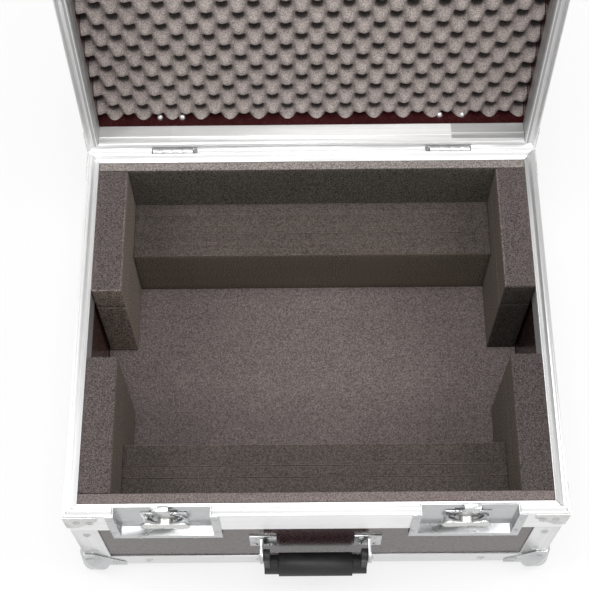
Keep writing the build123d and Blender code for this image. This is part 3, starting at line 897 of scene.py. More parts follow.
@dataclass
class FoamFitting:
    """The foam in the base: floor, liners, side blocks and the two steps that carry the pad."""

    shelf: FinishShelf
    tone: Tone = Tone(103, 94, 92)
    rear_liner_tone: Tone = Tone(103, 97, 94)
    step_tone: Tone = Tone(103, 94, 89)
    # Painted light: the liners' tops are made much lighter than their faces.
    liner_top_light: float = 2.1
    cap_height: float = 40 * MM
    shoulder: float = 2.6 * MM
    step_uneven: float = 0.3 * MM
    # Painted shadow: the floor's front part is darker, in the shade of the front wall and step.
    floor_front: Triple = (-50 * MM, -100 * MM, 0.84)
    block_front: Span = (1.6 * MM, 0.9 * MM)
    # Painted light and shade on each block's cut faces, top, front end and inward wall; the rear right block
    # lies most in shadow.
    blocks: dict[str, Block] = field(default_factory=lambda: {
        "rear_left": Block(1.25, 0.46, 1.3, 1.1), "rear_right": Block(1.25, 0.45, 0.32, 0.60),
        "front_left": Block(0.72, 0.80, 1.0, 1.25), "front_right": Block(0.66, 0.62, 1.0, 1.0),
    })
    steps: dict[str, Step] = field(default_factory=lambda: {
        "rear_step": Step((13.2 * MM, 22.6 * MM, 26.2 * MM), 0.45 * MM, 0.2 * MM, 0.52),
        "front_step": Step((21.9 * MM, 11.9 * MM, 36.2 * MM), 0.95 * MM, 0.35 * MM, 0.445),
    })

    def piece(self, node: str, slabs: Sequence[Slab], finish: FoamFinish) -> None:
        """Builds one foam piece that stands for a CAD node.

        Args:
            node: the CAD node's name.
            slabs: the slabs that it is glued up from.
            finish: the foam's finish.
        """
        whole = bmesh.new()
        for slab in slabs:
            slab.add_to(whole)
        bmesh.ops.triangulate(whole, faces=whole.faces[:])
        self.shelf.foam(plain_mesh(whole, f"{node}_cut"), node, finish, Half.BASE, sharp=50)

    def strips(self, node: str, step: Step) -> list[Slab]:
        """Returns a step's strips from the rear to the front, side by side.

        Args:
            node: the CAD node that gives the step's box.
            step: the strips' sizes.

        Returns:
            One slab for each strip.
        """
        low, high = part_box(node)
        slabs, rear = [], high.y
        for width in step.widths:
            back = rear if rear == high.y else rear - step.seam
            slabs.append(Slab(Vector((low.x, rear - width, low.z)), Vector((high.x, back, high.z)),
                              edge=step.edge, uneven=self.step_uneven))
            rear -= width
        return slabs

    def build(self) -> None:
        """Builds every foam piece of the base."""
        floor = FoamFinish("foam_skin", self.tone, lines=0.04, tone_and_shade_gain=0.93, front_light_gain=self.floor_front)
        self.piece("floor_foam", [Slab(*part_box("floor_foam"))], floor)
        # Painted light and shade: the liners' faces are darker and their tops lighter.
        for name, gain, speckle, tone in (("rear_liner_foam", 1.09, 0.62, self.rear_liner_tone),
                                          ("front_liner_foam", 0.80, 0.42, self.tone)):
            liner = FoamFinish(name, tone, lines=0.06, tone_and_shade_gain=0.66, top_light_gain=gain * self.liner_top_light,
                               speckle=speckle)
            self.piece(name, [Slab(*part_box(name))], liner)
        for name, block in self.blocks.items():
            node = f"{name}_foam_block"
            low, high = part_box(node)
            seam = high.z - self.cap_height
            inner = -1 if "right" in name else 1
            lower = Slab(low, Vector((high.x, high.y, seam)))
            upper = Slab(Vector((low.x, low.y, seam)), high, shoulder=self.shoulder, shoulder_side=inner)
            # Painted light and shade on each block's front end.
            start, stop = (low.y + inset for inset in self.block_front)
            along = FoamFinish(f"foam_{name}", self.tone, Run.ALONG_Y, tone_and_shade_gain=block.cut,
                               top_light_gain=block.top, speckle=0.70, side_light_gain=block.wall, shoulder_light_gain=0.95,
                               front_light_gain=(start, stop, block.end_light))
            self.piece(node, [lower, upper], along)
        for name, step in self.steps.items():
            # Painted shade on each step's top.
            sawn = FoamFinish(f"foam_{name}", self.step_tone, top_light_gain=step.top)
            self.piece(f"{name}_foam", self.strips(f"{name}_foam", step), sawn)


class FormTree(Wiring):
    """Builds one Geometry Nodes tree with named inputs and turns its result into a plain mesh."""

    def __init__(self, name: str) -> None:
        """Starts a tree that takes and gives geometry.

        Args:
            name: the tree's name.
        """
        super().__init__(bpy.data.node_groups.new(name, "GeometryNodeTree"))
        for way in ("INPUT", "OUTPUT"):
            self.tree.interface.new_socket("Geometry", in_out=way, socket_type="NodeSocketGeometry")
        self.start = self.tree.nodes.new("NodeGroupInput")
        self.end = self.tree.nodes.new("NodeGroupOutput")
        self.values: dict[str, object] = {}

    def value(self, name: str, kind: str, value: object) -> Socket:
        """Adds a named input and returns its socket inside the tree.

        Args:
            name: the input's name.
            kind: Float, Int, Object or Material.
            value: what the modifier passes in.

        Returns:
            The input's socket.
        """
        item = self.tree.interface.new_socket(name, in_out="INPUT", socket_type=f"NodeSocket{kind}")
        self.values[item.identifier] = value
        return next(s for s in self.start.outputs if s.identifier == item.identifier)

    def run(self, geometry: Socket, seed_mesh: Mesh, name: str) -> Mesh:
        """Ends the tree, evaluates it and returns the result as a plain mesh.

        Args:
            geometry: the finished geometry inside the tree.
            seed_mesh: the mesh that the modifier starts from.
            name: the new mesh's name.

        Returns:
            A mesh with no modifier.
        """
        real = self.add("GeometryNodeRealizeInstances", {0: geometry})
        material = self.value("Finish", "Material", bpy.data.materials.new(f"{name}_blank"))
        dressed = self.add("GeometryNodeSetMaterial", {"Geometry": real.outputs[0], "Material": material})
        self.tree.links.new(dressed.outputs[0], self.end.inputs[0])
        carrier = bpy.data.objects.new(f"{name}_carrier", seed_mesh)
        bpy.context.scene.collection.objects.link(carrier)
        modifier = carrier.modifiers.new("form", "NODES")
        modifier.node_group = self.tree
        for identifier, value in self.values.items():
            modifier[identifier] = value
        graph = bpy.context.evaluated_depsgraph_get()
        mesh = bpy.data.meshes.new_from_object(carrier.evaluated_get(graph))
        mesh.name = name
        carrier.modifiers.remove(modifier)
        bpy.data.objects.remove(carrier)
        return mesh


@dataclass
class ConvolutedSheet:
    """The lid's egg-crate sheet: rounded cones in staggered rows on a foam back."""

    shelf: FinishShelf
    case: CaseFrame
    tone: Tone = Tone(158, 148, 144)
    row_pitch: float = 14.9 * MM
    back: float = 9.5 * MM
    cone: float = 23.6 * MM
    fullness: float = 0.50
    tip_x: float = 5.7 * MM
    tip_row: float = 7.5 * MM
    grid: float = 1.9 * MM
    uneven: float = 0.5 * MM
    ripple: float = 55.0
    weld: float = 0.01 * MM
    # Painted shade deep in the valleys between the cones, from 9 to 11.5 mm past the tips.
    pit_shade: Triple = (9 * MM, 11.5 * MM, 0.24)

    def form(self, width: float, length: float, phase: Span) -> Mesh:
        """Returns the sheet lying on its back, centred on the origin.

        Args:
            width: along X in metres.
            length: along Y in metres.
            phase: the place of one cone's tip.

        Returns:
            A closed mesh.
        """
        f = FormTree("convoluted_foam")
        sizes = {"Width": width, "Length": length, "Row pitch": self.row_pitch, "Back thickness": self.back,
                 "Cone height": self.cone, "Fullness": self.fullness, "Tip X": phase[0], "Tip Y": phase[1],
                 "Unevenness": self.uneven}
        wide, long, pitch, back, cone, full, tip_x, tip_y, uneven = (
            f.value(name, "Float", size) for name, size in sizes.items())
        grid = f.add("GeometryNodeMeshGrid", {
            "Size X": wide, "Size Y": long,
            "Vertices X": round(width / self.grid), "Vertices Y": round(length / self.grid)})
        spot = f.add("GeometryNodeInputPosition", {}).outputs[0]
        split = f.split(spot)
        across, along = (f.math("COSINE", f.times(f.math("DIVIDE", f.less(split[axis], tip), pitch), math.pi))
                         for axis, tip in ((0, tip_x), (1, tip_y)))
        swell = f.times(f.plus(f.times(across, along), 1.0), 0.5)
        ripple = f.add("ShaderNodeTexNoise", {"Vector": spot, "Scale": self.ripple, "Detail": 3.0}).outputs[0]
        ripple = f.times(f.less(ripple, 0.5), uneven)
        rise = f.plus(f.plus(f.times(f.math("POWER", swell, full), cone), back), ripple)
        up = f.add("ShaderNodeCombineXYZ", {2: back}).outputs[0]
        raised = f.add("GeometryNodeExtrudeMesh", {"Mesh": grid.outputs[0], "Offset": up, "Offset Scale": 1.0,
                                                   "Individual": False}, mode="FACES")
        over = f.add("ShaderNodeCombineXYZ", {2: f.less(rise, back)}).outputs[0]
        top = f.math("GREATER_THAN", split[2], 0.5 * self.back)
        shaped = f.add("GeometryNodeSetPosition", {
            "Geometry": raised.outputs[0], "Selection": top, "Offset": over})
        under = f.add("GeometryNodeFlipFaces", {"Mesh": grid.outputs[0]})
        joined = f.add("GeometryNodeJoinGeometry", {})
        for part in (shaped.outputs[0], under.outputs[0]):
            f.tree.links.new(part, joined.inputs[0])
        closed = f.add("GeometryNodeMergeByDistance", {"Geometry": joined.outputs[0], "Distance": self.weld})
        return f.run(closed.outputs[0], bpy.data.meshes.new("sheet_seed"), "lid_convoluted_foam")

    def build(self) -> None:
        """Builds the sheet in the open lid."""
        opened = self.case.opened(Half.LID)
        shut = opened.inverted()
        spots = [shut @ v.co for v in bpy.data.objects["lid_egg_foam"].data.vertices]
        low = Vector([min(c[i] for c in spots) for i in range(3)])
        high = Vector([max(c[i] for c in spots) for i in range(3)])
        middle = (low + high) / 2
        tip_y = self.case.rear_y - self.tip_row
        mesh = self.form(high.x - low.x, high.y - low.y, (self.tip_x - middle.x, -(tip_y - middle.y)))
        face_down = Matrix.Rotation(math.pi, 4, "X")
        mesh.transform(opened @ Matrix.Translation((middle.x, middle.y, high.z)) @ face_down)
        tip_z = high.z - self.back - self.cone
        start, stop, gain = self.pit_shade
        finish = FoamFinish("foam_convoluted", self.tone, Run.ALONG_Y, speckle=0.42, wall_speckle=0.50,
                            lines=0.03, wall_shade_tint=(1.0, 1.0), pit_shade=(tip_z + start, tip_z + stop, gain))
        self.shelf.foam(mesh, "lid_egg_foam", finish, Half.LID, sharp=60)


@dataclass
class CaseShell:
    """Panels, rims and edge angles of both halves, which keep their CAD shape."""

    shelf: FinishShelf
    nodes: dict[str, Object]
    edge: float = 0.35 * MM
    # Painted shade and reflection on the side rims: the inner faces' gain and bands across them.
    side_shade_bands: dict[Half, tuple[float, tuple[Triple, ...]]] = field(default_factory=lambda: {
        Half.BASE: (0.47, ((2.0 * MM, 3.0 * MM, 0.90), (5.0 * MM, 12.2 * MM, 0.95),
                           (10.0 * MM, 11.2 * MM, 0.90))),
        Half.LID: (0.70, ((6.5 * MM, 9.9 * MM, 0.52), (10.9 * MM, 12.0 * MM, 0.52))),
    })
    # Painted shade on the base's right rim: a darker band across it, and the near part darker still.
    right_shade_band: Triple = (-1.0 * MM, 14.0 * MM, 0.66)
    right_near_shade: Triple = (7.7 * MM, 11.6 * MM, 0.40)
    right_inner_shade: float = 0.92
    # Painted shade: the lid's rear shelf is darker at its ends.
    shelf_end_shade: Span = (0.95, 0.55)

    def rim(self, half: Half, side: Side) -> ExtrusionFinish:
        """Returns the finish of one rim section.

        Args:
            half: the half that it is on.
            side: the side that it runs along.

        Returns:
            The finish.
        """
        if side in (Side.FRONT, Side.REAR):
            if half is Half.LID and side is Side.REAR:
                return ExtrusionFinish("rim_section_shelf", Run.ALONG_X, end_shade_gains=self.shelf_end_shade)
            return ExtrusionFinish("rim_section_x", Run.ALONG_X)
        gain, shade_bands = self.side_shade_bands[half]
        near = ExtrusionFinish.near_shade_band
        if half is Half.BASE and side is Side.RIGHT:
            shade_bands = (*shade_bands, self.right_shade_band)
            near = self.right_near_shade
            gain /= self.right_inner_shade * self.right_shade_band[2]
        return ExtrusionFinish(f"rim_section_{side.value}", Run.ALONG_Y, inner_shade_gain=gain, shade_bands=shade_bands,
                               near_shade_band=near)

    def build(self) -> None:
        """Dresses every panel and section."""
        for name, node in self.nodes.items():
            if name.endswith("_panel"):
                self.shelf.dress(node, FilmPlyFinish("film_faced_ply"))
        for half in Half:
            for side in Side:
                node = self.nodes[f"{half.value}_rim_{side.value}"]
                self.shelf.dress(node, self.rim(half, side), self.edge)
        for name, run in (("base_bottom_edges", Run.ROUND), ("lid_top_edges", Run.ROUND),
                          ("base_upright_edges", Run.UPRIGHT)):
            angle = ExtrusionFinish(f"edge_angle_{run.name.lower()}", run, Tone(230, 230, 230), metallic=0.78)
            self.shelf.dress(self.nodes[name], angle, self.edge)


@dataclass
class Hardware:
    """Corners, braces, hinges, latches, handle and feet, which keep their CAD shape."""

    shelf: FinishShelf
    nodes: dict[str, Object]
    edge: float = 0.25 * MM
    plan: tuple[tuple[Finish, tuple[str, ...]], ...] = (
        (PlatedFinish("plated_steel"), ("rim_braces", "latch_wing")),
        (PlatedFinish("hinge_steel", Tone(226, 226, 226), 0.30, 0.65), ("leaves",)),
        (PlatedFinish("stamped_steel", Tone(200, 201, 202), 0.24, 0.9), ("ball_corners",)),
        (PlatedFinish("pressed_steel", Tone(192, 193, 194), 0.28, 0.9), ("dish", "keeper", "brackets")),
        (PlatedFinish("turned_steel", Tone(186, 187, 188), 0.18, 0.95), ("pins", "draw_plate", "hook")),
        (RubberFinish("foot_rubber"), ("rubber_feet",)),
        (RubberFinish("grip_plastic", Tone(34, 34, 35), 0.5), ("handle_grip",)),
    )

    def build(self) -> None:
        """Dresses every steel, rubber and grip node, which the ends of their names tell."""
        for finish, ends in self.plan:
            for name, node in self.nodes.items():
                if name.endswith(ends):
                    self.shelf.dress(node, finish, self.edge)


@dataclass
class NotchShadeDiscs:
    """Grey discs on the ends of the hinge pins, inside the notches' ends, which stand in for the shade that
    shows in the gaps there.
    """

    shelf: FinishShelf
    case: CaseFrame
    hinge_x: float = 142 * MM
    pin_end: float = 20.45 * MM
    towards_side: Span = (20.6 * MM, 21.65 * MM)
    towards_middle: Span = (21.6 * MM, 24.55 * MM)
    stem_r: float = 1.7 * MM
    radius: float = 3.4 * MM
    chamfer: float = 0.35 * MM
    segments: int = 28
    # Painted shade: a grey piece stands for the shade in the notches' end gaps.
    finish: RubberFinish = RubberFinish("notch_nylon", Tone(120, 119, 118), 0.5)

    def shade_disc(self, hinge: int, side: int) -> tuple[Levels, Matrix]:
        """Returns one disc's shape and place.

        Args:
            hinge: 1 for the hinge towards +X, -1 for the other.
            side: 1 for its pin's end towards +X, -1 for the other.

        Returns:
            Levels along the pin, from the hinge's middle, and the turn and move onto the pin.
        """
        start, stop = self.towards_side if side == hinge else self.towards_middle
        shoulder = self.radius - self.chamfer
        section = ((0.0, self.pin_end), (self.stem_r, self.pin_end), (self.stem_r, start),
                   (shoulder, start), (self.radius, start + self.chamfer),
                   (self.radius, stop - self.chamfer), (shoulder, stop), (0.0, stop))
        pin = self.case.hinge
        along_x = (0, 0, side, hinge * self.hinge_x)
        place = Matrix((along_x, (1, 0, 0, pin.y), (0, 1, 0, pin.z), (0, 0, 0, 1)))
        return [([r] * self.segments, reach) for r, reach in section], place

    def build(self) -> None:
        """Makes the four discs as one piece."""
        mesh = turned("hinge_pin_buffers", [self.shade_disc(hinge, side) for hinge in SIDES for side in SIDES])
        self.shelf.piece(mesh, self.finish, Half.BASE, "rubber", sharp=30)


@dataclass(frozen=True)
class Row:
    """A row of rivets on one face of the shut case, cast onto whatever is there."""

    outward: Triple
    start: Triple
    end: Optional[Triple] = None
    count: int = 2

    def spots(self) -> list[Vector]:
        """Returns the rivets' places before they are cast.

        Returns:
            Evenly spaced places, or only the start where there is no end.
        """
        if self.end is None:
            return [Vector(self.start)]
        return [Vector(self.start).lerp(Vector(self.end), i / (self.count - 1)) for i in range(self.count)]


@dataclass
class RivetWork:
    """Rivets that hold the steel and aluminium parts, set by Geometry Nodes on rows of points."""

    shelf: FinishShelf
    case: CaseFrame
    nodes: dict[str, Object]
    head_r: float = 3.9 * MM
    head_h: float = 1.5 * MM
    mandrel_r: float = 1.3 * MM
    tail_r: float = 3.9 * MM * 0.84
    tail_h: float = 3.8 * MM
    tail_hole_r: float = 1.3 * MM * 0.7
    small: float = 0.74
    segments: int = 14
    screw_r: float = 4.2 * MM
    screw_h: float = 2.4 * MM
    recess: Triple = (2.2 * MM, 0.7 * MM, 1.5 * MM)
    screw_segments: int = 16
    seeds: tuple[int, int] = (11, 23)
    spread: float = 0.03
    cast_from: float = 0.03
    lid_height: float = 75.6 * MM
    edge_ends: float = 62 * MM
    edge_count: int = 4
    edge_inset: Span = (13 * MM, 14 * MM)
    upright_ends: Span = (22 * MM, 16 * MM)
    corner_reach: Span = (11 * MM, 29 * MM)
    brace_reach: Span = (10 * MM, 22 * MM)
    brace_level: float = 17 * MM
    leaf_x: float = 144.6 * MM
    leaf_half: float = 11.5 * MM
    leaf_level: float = 36.5 * MM
    wall: float = 10 * MM
    dish_x: float = 140 * MM
    dish_half: Span = (48 * MM, 26 * MM)
    dish_levels: dict[Half, tuple[float, Sequence[float]]] = field(default_factory=lambda: {
        Half.BASE: (-66 * MM, (-14 * MM, -54 * MM)), Half.LID: (34 * MM, (16 * MM,)),
    })
    bracket_x: Span = (43.8 * MM, 58.3 * MM)
    bracket_inset: float = 5.5 * MM
    foot_inset: float = 19 * MM

    def head(self, radius: float, height: float, dimple: float) -> Mesh:
        """Returns one domed rivet head with its dimple, standing up from the origin.

        Args:
            radius: the head's radius.
            height: how far it stands proud.
            dimple: the radius of the hole left by the mandrel.

        Returns:
            A small turned mesh.
        """
        outline = ((0.0, height * 0.45), (dimple * 0.75, height * 0.45), (dimple, height * 0.98),
                   (radius * 0.66, height * 0.80), (radius * 0.93, height * 0.36), (radius, 0.0),
                   (radius * 0.9, -0.2 * MM))
        return turned("rivet_head", [([([r] * self.segments, z) for r, z in outline], Matrix())])

    def screw_head(self) -> Mesh:
        """Returns a pan head with a cross recess, standing up from the origin.

        Returns:
            A small turned mesh.
        """
        arm, core, depth = self.recess
        radius, height, count = self.screw_r, self.screw_h, self.screw_segments
        cross = [arm if i % 4 == 0 else core for i in range(count)]
        levels = [([0.0] * count, height - depth), ([0.75 * reach for reach in cross], height - depth),
                  (cross, height), ([radius * 0.72] * count, height), ([radius * 0.95] * count, height * 0.6),
                  ([radius] * count, 0.0)]
        return turned("screw_head", [(levels, Matrix())])

    def cast(self, rows: Sequence[Row], half: Half) -> tuple[list[Vector], list[Vector]]:
        """Casts rows of rivets onto the half's CAD nodes.

        Args:
            rows: rows on the shut case.
            half: the half that they are on.

        Returns:
            The places on the surface, and the outward directions there.
        """
        trees = []
        for name, node in self.nodes.items():
            if node["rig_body"] == half.value and not name.endswith(("foam", "foam_block")):
                trees.append(BVHTree.FromPolygons([v.co for v in node.data.vertices],
                                                  [p.vertices for p in node.data.polygons]))
        opened = self.case.opened(half)
        places, axes = [], []
        for row in rows:
            outward = (opened.to_3x3() @ Vector(row.outward)).normalized()
            for spot in row.spots():
                origin = opened @ (spot + Vector(row.outward) * self.cast_from)
                hits = [h for h in (tree.ray_cast(origin, -outward) for tree in trees) if h[0] is not None]
                if not hits:
                    log.warning("no surface under the rivet at %s", tuple(spot))
                    continue
                places.append(min(hits, key=lambda h: h[3])[0])
                axes.append(outward)
        return places, axes

    def set_rows(self, name: str, rows: Sequence[Row], half: Half, scale: float, finish: PlatedFinish,
                 shape: Mesh) -> None:
        """Sets rows of one rivet size as a single piece.

        Args:
            name: the piece's name.
            rows: rows on the shut case.
            half: the half that they are on.
            scale: size against the full-size head.
            finish: the rivets' finish.
            shape: the mesh of one head.
        """
        places, axes = self.cast(rows, half)
        seed = bpy.data.meshes.new(f"{name}_spots")
        seed.from_pydata(places, [], [])
        axis = seed.attributes.new("axis", "FLOAT_VECTOR", "POINT")
        axis.data.foreach_set("vector", [c for a in axes for c in a])
        model = bpy.data.objects.new(f"{name}_model", shape)
        f = FormTree(f"{name}_rivets")
        size = f.value("Size", "Float", scale)
        spread = f.value("Size spread", "Float", self.spread)
        one = f.value("Rivet", "Object", model)
        info = f.add("GeometryNodeObjectInfo", {"Object": one, "As Instance": True})
        named = f.add("GeometryNodeInputNamedAttribute", {"Name": "axis"}, data_type="FLOAT_VECTOR")
        stand = f.add("FunctionNodeAlignRotationToVector", {"Vector": named.outputs[0]}, axis="Z")
        spin, jitter = (f.add("FunctionNodeRandomValue", {2: low, 3: high, "Seed": number}, data_type="FLOAT")
                        for (low, high), number in zip(((0.0, math.tau), (-1.0, 1.0)), self.seeds))
        turn = f.add("FunctionNodeAxisAngleToRotation", {"Axis": (0, 0, 1), "Angle": spin.outputs[1]})
        whole = f.add("FunctionNodeRotateRotation", {0: stand.outputs[0], 1: turn.outputs[0]},
                      rotation_space="LOCAL")
        placed = f.add("GeometryNodeInstanceOnPoints", {
            "Points": f.start.outputs[0], "Instance": info.outputs["Geometry"], "Rotation": whole.outputs[0],
            "Scale": f.times(size, f.plus(f.times(jitter.outputs[1], spread), 1.0))})
        mesh = f.run(placed.outputs[0], seed, name)
        bpy.data.objects.remove(model)
        self.shelf.piece(mesh, finish, half, "plated_steel", sharp=55)

    def outer(self, half: Half) -> tuple[float, int]:
        """Returns where the outer face of a half lies, the base's bottom or the lid's top.

        Args:
            half: which half.

        Returns:
            The face's level, and 1 where the half lies above it or -1 below.
        """
        if half is Half.BASE:
            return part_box("base_bottom_edges")[0].z, 1
        return self.case.parting_z + self.lid_height, -1

    def beside(self, sx: int, sy: int, inset: float, *levels: float) -> list[Row]:
        """Returns a row on each of the two upright faces that meet at a corner.

        Args:
            sx: the corner's side along X.
            sy: its side along Y.
            inset: from the corner to the row.
            *levels: height of the one rivet, or of the first and the last.

        Returns:
            Rows on the shut case.
        """
        x, y = sx * self.case.half_x, self.case.centre_y + sy * self.case.half_y
        faces = (((0, sy, 0), x - sx * inset, y), ((sx, 0, 0), x, y - sy * inset))
        return [Row(outward, *((at_x, at_y, z) for z in levels)) for outward, at_x, at_y in faces]

    def edge_rows(self, half: Half) -> list[Row]:
        """Returns the rows along the edge angles of one half.

        Args:
            half: the base's bottom edges and uprights, or the lid's top edges.

        Returns:
            Rows on the shut case.
        """
        c = self.case
        outer, up = self.outer(half)
        reach_x, reach_y = c.half_x - self.edge_ends, c.half_y - self.edge_ends
        near, far = c.centre_y - reach_y, c.centre_y + reach_y
        inset, rise = self.edge_inset
        level = outer + up * rise
        rows = []
        for side in SIDES:
            y = c.centre_y + side * c.half_y
            for outward, at, z in (((0, side, 0), y, level), ((0, 0, -up), y - side * inset, outer)):
                rows.append(Row(outward, (-reach_x, at, z), (reach_x, at, z), self.edge_count))
            x = side * c.half_x
            for outward, at, z in (((side, 0, 0), x, level), ((0, 0, -up), x - side * inset, outer)):
                rows.append(Row(outward, (at, near, z), (at, far, z), self.edge_count))
        if half is Half.BASE:
            low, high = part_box("base_upright_edges")
            ends = (low.z + self.upright_ends[0], high.z - self.upright_ends[1])
            for sx in SIDES:
                for sy in SIDES:
                    rows += self.beside(sx, sy, inset, *ends)
        return rows

    def corner_rows(self, half: Half) -> list[Row]:
        """Returns the rivets of the ball corners and the rim braces.

        Args:
            half: which half.

        Returns:
            Rows on the shut case.
        """
        c = self.case
        outer, up = self.outer(half)
        near, far = self.corner_reach
        rows = []
        for sx in SIDES:
            for sy in SIDES:
                x, y = sx * c.half_x, c.centre_y + sy * c.half_y
                for a, b in ((near, far), (far, near)):
                    rows += self.beside(sx, sy, a, outer + up * b)
                    rows.append(Row((0, 0, -up), (x - sx * a, y - sy * b, outer)))
                for reach in self.brace_reach:
                    rows += self.beside(sx, sy, reach, c.parting_z - up * self.brace_level)
        return rows

    def hinge_rows(self, half: Half, outward: int) -> list[Row]:
        """Returns the hinge leaves' rivets, two to a leaf.

        Args:
            half: which leaf.
            outward: 1 for the heads outside, -1 for the tails inside the wall.

        Returns:
            Rows on the shut case.
        """
        z = self.case.parting_z + (self.leaf_level if half is Half.LID else -self.leaf_level)
        y = self.case.rear_y if outward > 0 else self.case.rear_y - self.wall
        ends = ((side * self.leaf_x - self.leaf_half, side * self.leaf_x + self.leaf_half) for side in SIDES)
        return [Row((0, outward, 0), (left, y, z), (right, y, z)) for left, right in ends]

    def front_row(self, *spots: Span) -> Row:
        """Returns a row on the front face through the X and Z of its one or two ends."""
        return Row((0, -1, 0), *((x, self.case.front_y, z) for x, z in spots))

    def latch_rows(self, half: Half) -> list[Row]:
        """Returns the rivets through the latch and keeper dishes' flanges.

        Args:
            half: the base's latch dishes or the lid's keeper dishes.

        Returns:
            Rows on the shut case.
        """
        across, along = self.dish_half
        end, levels = self.dish_levels[half]
        z = self.case.parting_z + end
        rows = []
        for x in (-self.dish_x, self.dish_x):
            for side in SIDES:
                spots = ((x + side * across, self.case.parting_z + level) for level in levels)
                rows.append(self.front_row(*spots))
            rows.append(self.front_row((x - along, z), (x + along, z)))
        return rows

    def handle_rows(self) -> list[Row]:
        """Returns the four rivets of each handle bracket.

        Returns:
            Rows on the shut case.
        """
        low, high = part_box("handle_brackets")
        top, bottom = high.z - self.bracket_inset, low.z + self.bracket_inset
        return [self.front_row((side * x, top), (side * x, bottom)) for side in SIDES for x in self.bracket_x]

    def foot_rows(self) -> list[Row]:
        """Returns the one screw in each foot's recess.

        Returns:
            Rows on the shut case.
        """
        low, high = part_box("rubber_feet")
        return [Row((0, 0, -1), (x, y, low.z)) for x in (low.x + self.foot_inset, high.x - self.foot_inset)
                for y in (low.y + self.foot_inset, high.y - self.foot_inset)]

    def build(self) -> None:
        """Sets every rivet of the case."""
        finish = PlatedFinish("rivet_steel", Tone(200, 200, 200), 0.24)
        # Painted highlight: the rivets' tails are the same steel as their heads, given a lighter tone.
        tail_highlight = PlatedFinish("rivet_tail", Tone(236, 236, 236), 0.24)
        dome = self.head(self.head_r, self.head_h, self.mandrel_r)
        tail = self.head(self.tail_r, self.tail_h, self.tail_hole_r)
        for half in Half:
            rows = self.edge_rows(half) + self.corner_rows(half) + self.hinge_rows(half, 1)
            self.set_rows(f"{half.value}_rivets", rows, half, 1.0, finish, dome)
            small = self.latch_rows(half) + (self.handle_rows() if half is Half.BASE else [])
            self.set_rows(f"{half.value}_small_rivets", small, half, self.small, finish, dome)
        self.set_rows("lid_rivet_tails", self.hinge_rows(Half.LID, -1), Half.LID, 1.0, tail_highlight, tail)
        self.set_rows("foot_screws", self.foot_rows(), Half.BASE, 1.0, finish, self.screw_head())


@dataclass(frozen=True)
class Lamp:
    """A soft rectangular lamp, in metres and watts."""

    name: str
    place: Triple
    size: Span
    power: float

    def hang(self, aim: Triple) -> None:
        """Adds the lamp to the scene.

        Args:
            aim: the point that it faces.
        """
        data = bpy.data.lights.new(self.name, "AREA")
        data.shape = "RECTANGLE"
        data.size, data.size_y = self.size
        data.energy = self.power
        lamp = bpy.data.objects.new(self.name, data)
        lamp.location = self.place
        lamp.rotation_euler = (Vector(aim) - Vector(self.place)).to_track_quat("-Z", "Y").to_euler()
        bpy.context.scene.collection.objects.link(lamp)


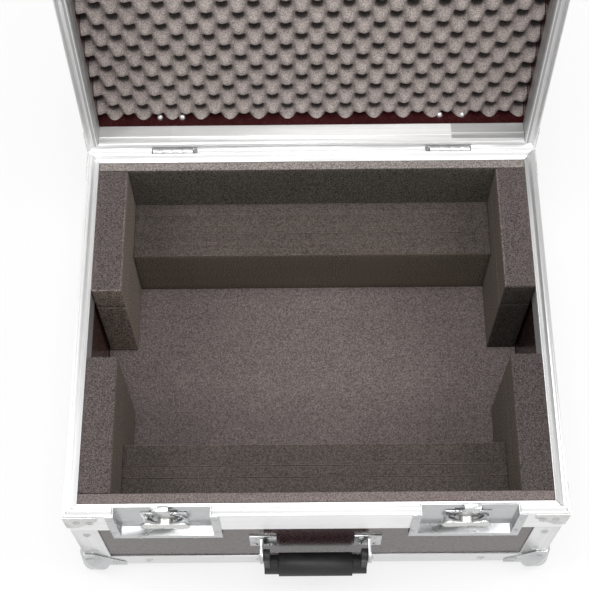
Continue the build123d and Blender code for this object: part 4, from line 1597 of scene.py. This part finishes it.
@dataclass(frozen=True)
class Studio:
    """Camera as the photograph had it, a white floor and soft lamps."""

    shelf: FinishShelf
    place: Triple = (-0.0118, -0.5746, 1.3491)
    look: Triple = (-0.0046, 0.4289, -0.9033)
    up: Triple = (0.0087, 0.9033, 0.4289)
    focal_px: float = 1326.5
    frame_px: tuple[int, int] = (590, 591)
    sensor: float = 36.0
    clip: Span = (0.01, 50)
    floor_half: float = 6.0
    ambient: float = 0.38
    shine: float = 0.95
    aim: Triple = (0, 0, 0.1)
    lamps: tuple[Lamp, ...] = (
        Lamp("overhead_softbox", (0.0, -0.25, 1.80), (0.62, 0.9), 14),
        Lamp("left_softbox", (-1.15, -0.05, 1.55), (0.8, 0.8), 13),
        Lamp("right_softbox", (1.15, -0.05, 1.55), (0.8, 0.8), 13),
    )

    def camera(self) -> None:
        """Sets the camera to the photograph's view."""
        data = bpy.data.cameras.new("photo_camera")
        data.sensor_width = self.sensor
        data.lens = self.focal_px / max(self.frame_px) * self.sensor
        data.clip_start, data.clip_end = self.clip
        camera = bpy.data.objects.new("photo_camera", data)
        back = -Vector(self.look).normalized()
        right = Vector(self.up).cross(back).normalized()
        turn = Matrix((right, back.cross(right), back)).transposed()
        camera.matrix_world = Matrix.Translation(self.place) @ turn.to_4x4()
        bpy.context.scene.collection.objects.link(camera)
        bpy.context.scene.camera = camera

    def floor(self) -> None:
        """Adds the floor."""
        mesh = bpy.data.meshes.new("studio_floor")
        h = self.floor_half
        mesh.from_pydata([(-h, -h, 0), (h, -h, 0), (h, h, 0), (-h, h, 0)], [], [(0, 1, 2, 3)])
        mesh.materials.append(self.shelf.take(StageFinish("studio_floor"), Half.BASE))
        floor = bpy.data.objects.new("studio_floor", mesh)
        bpy.context.scene.collection.objects.link(floor)

    def world(self) -> None:
        """Sets a white surround for the camera and an even one for the rest."""
        world = bpy.data.worlds.new("studio")
        bpy.context.scene.world = world
        world.use_nodes = True
        t = Wiring(world.node_tree)
        path = t.add("ShaderNodeLightPath", {}).outputs
        gloss = t.add("ShaderNodeMix", {0: path["Is Glossy Ray"], 2: self.ambient, 3: self.shine}).outputs[0]
        strength = t.add("ShaderNodeMix", {0: path["Is Camera Ray"], 2: gloss, 3: 1.0}).outputs[0]
        background = t.add("ShaderNodeBackground", {"Color": (1, 1, 1, 1), "Strength": strength})
        t.add("ShaderNodeOutputWorld", {"Surface": background.outputs[0]})

    def build(self) -> None:
        """Sets the camera, the lamps, the floor and the surround."""
        bpy.context.scene.view_settings.view_transform = "Standard"
        self.camera()
        self.floor()
        self.world()
        for lamp in self.lamps:
            lamp.hang(self.aim)
        log.info("studio set")


def main() -> None:
    """Builds the looks in order."""
    logging.basicConfig(level=logging.INFO, format="%(name)s: %(message)s")
    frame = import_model()
    case = CaseFrame.read(frame)
    shelf = FinishShelf(case)
    nodes = frame["nodes"]
    Studio(shelf).build()
    CaseShell(shelf, nodes).build()
    Hardware(shelf, nodes).build()
    FoamFitting(shelf).build()
    ConvolutedSheet(shelf, case).build()
    NotchShadeDiscs(shelf, case).build()
    RivetWork(shelf, case, nodes).build()


if __name__ == "__main__":
    main()
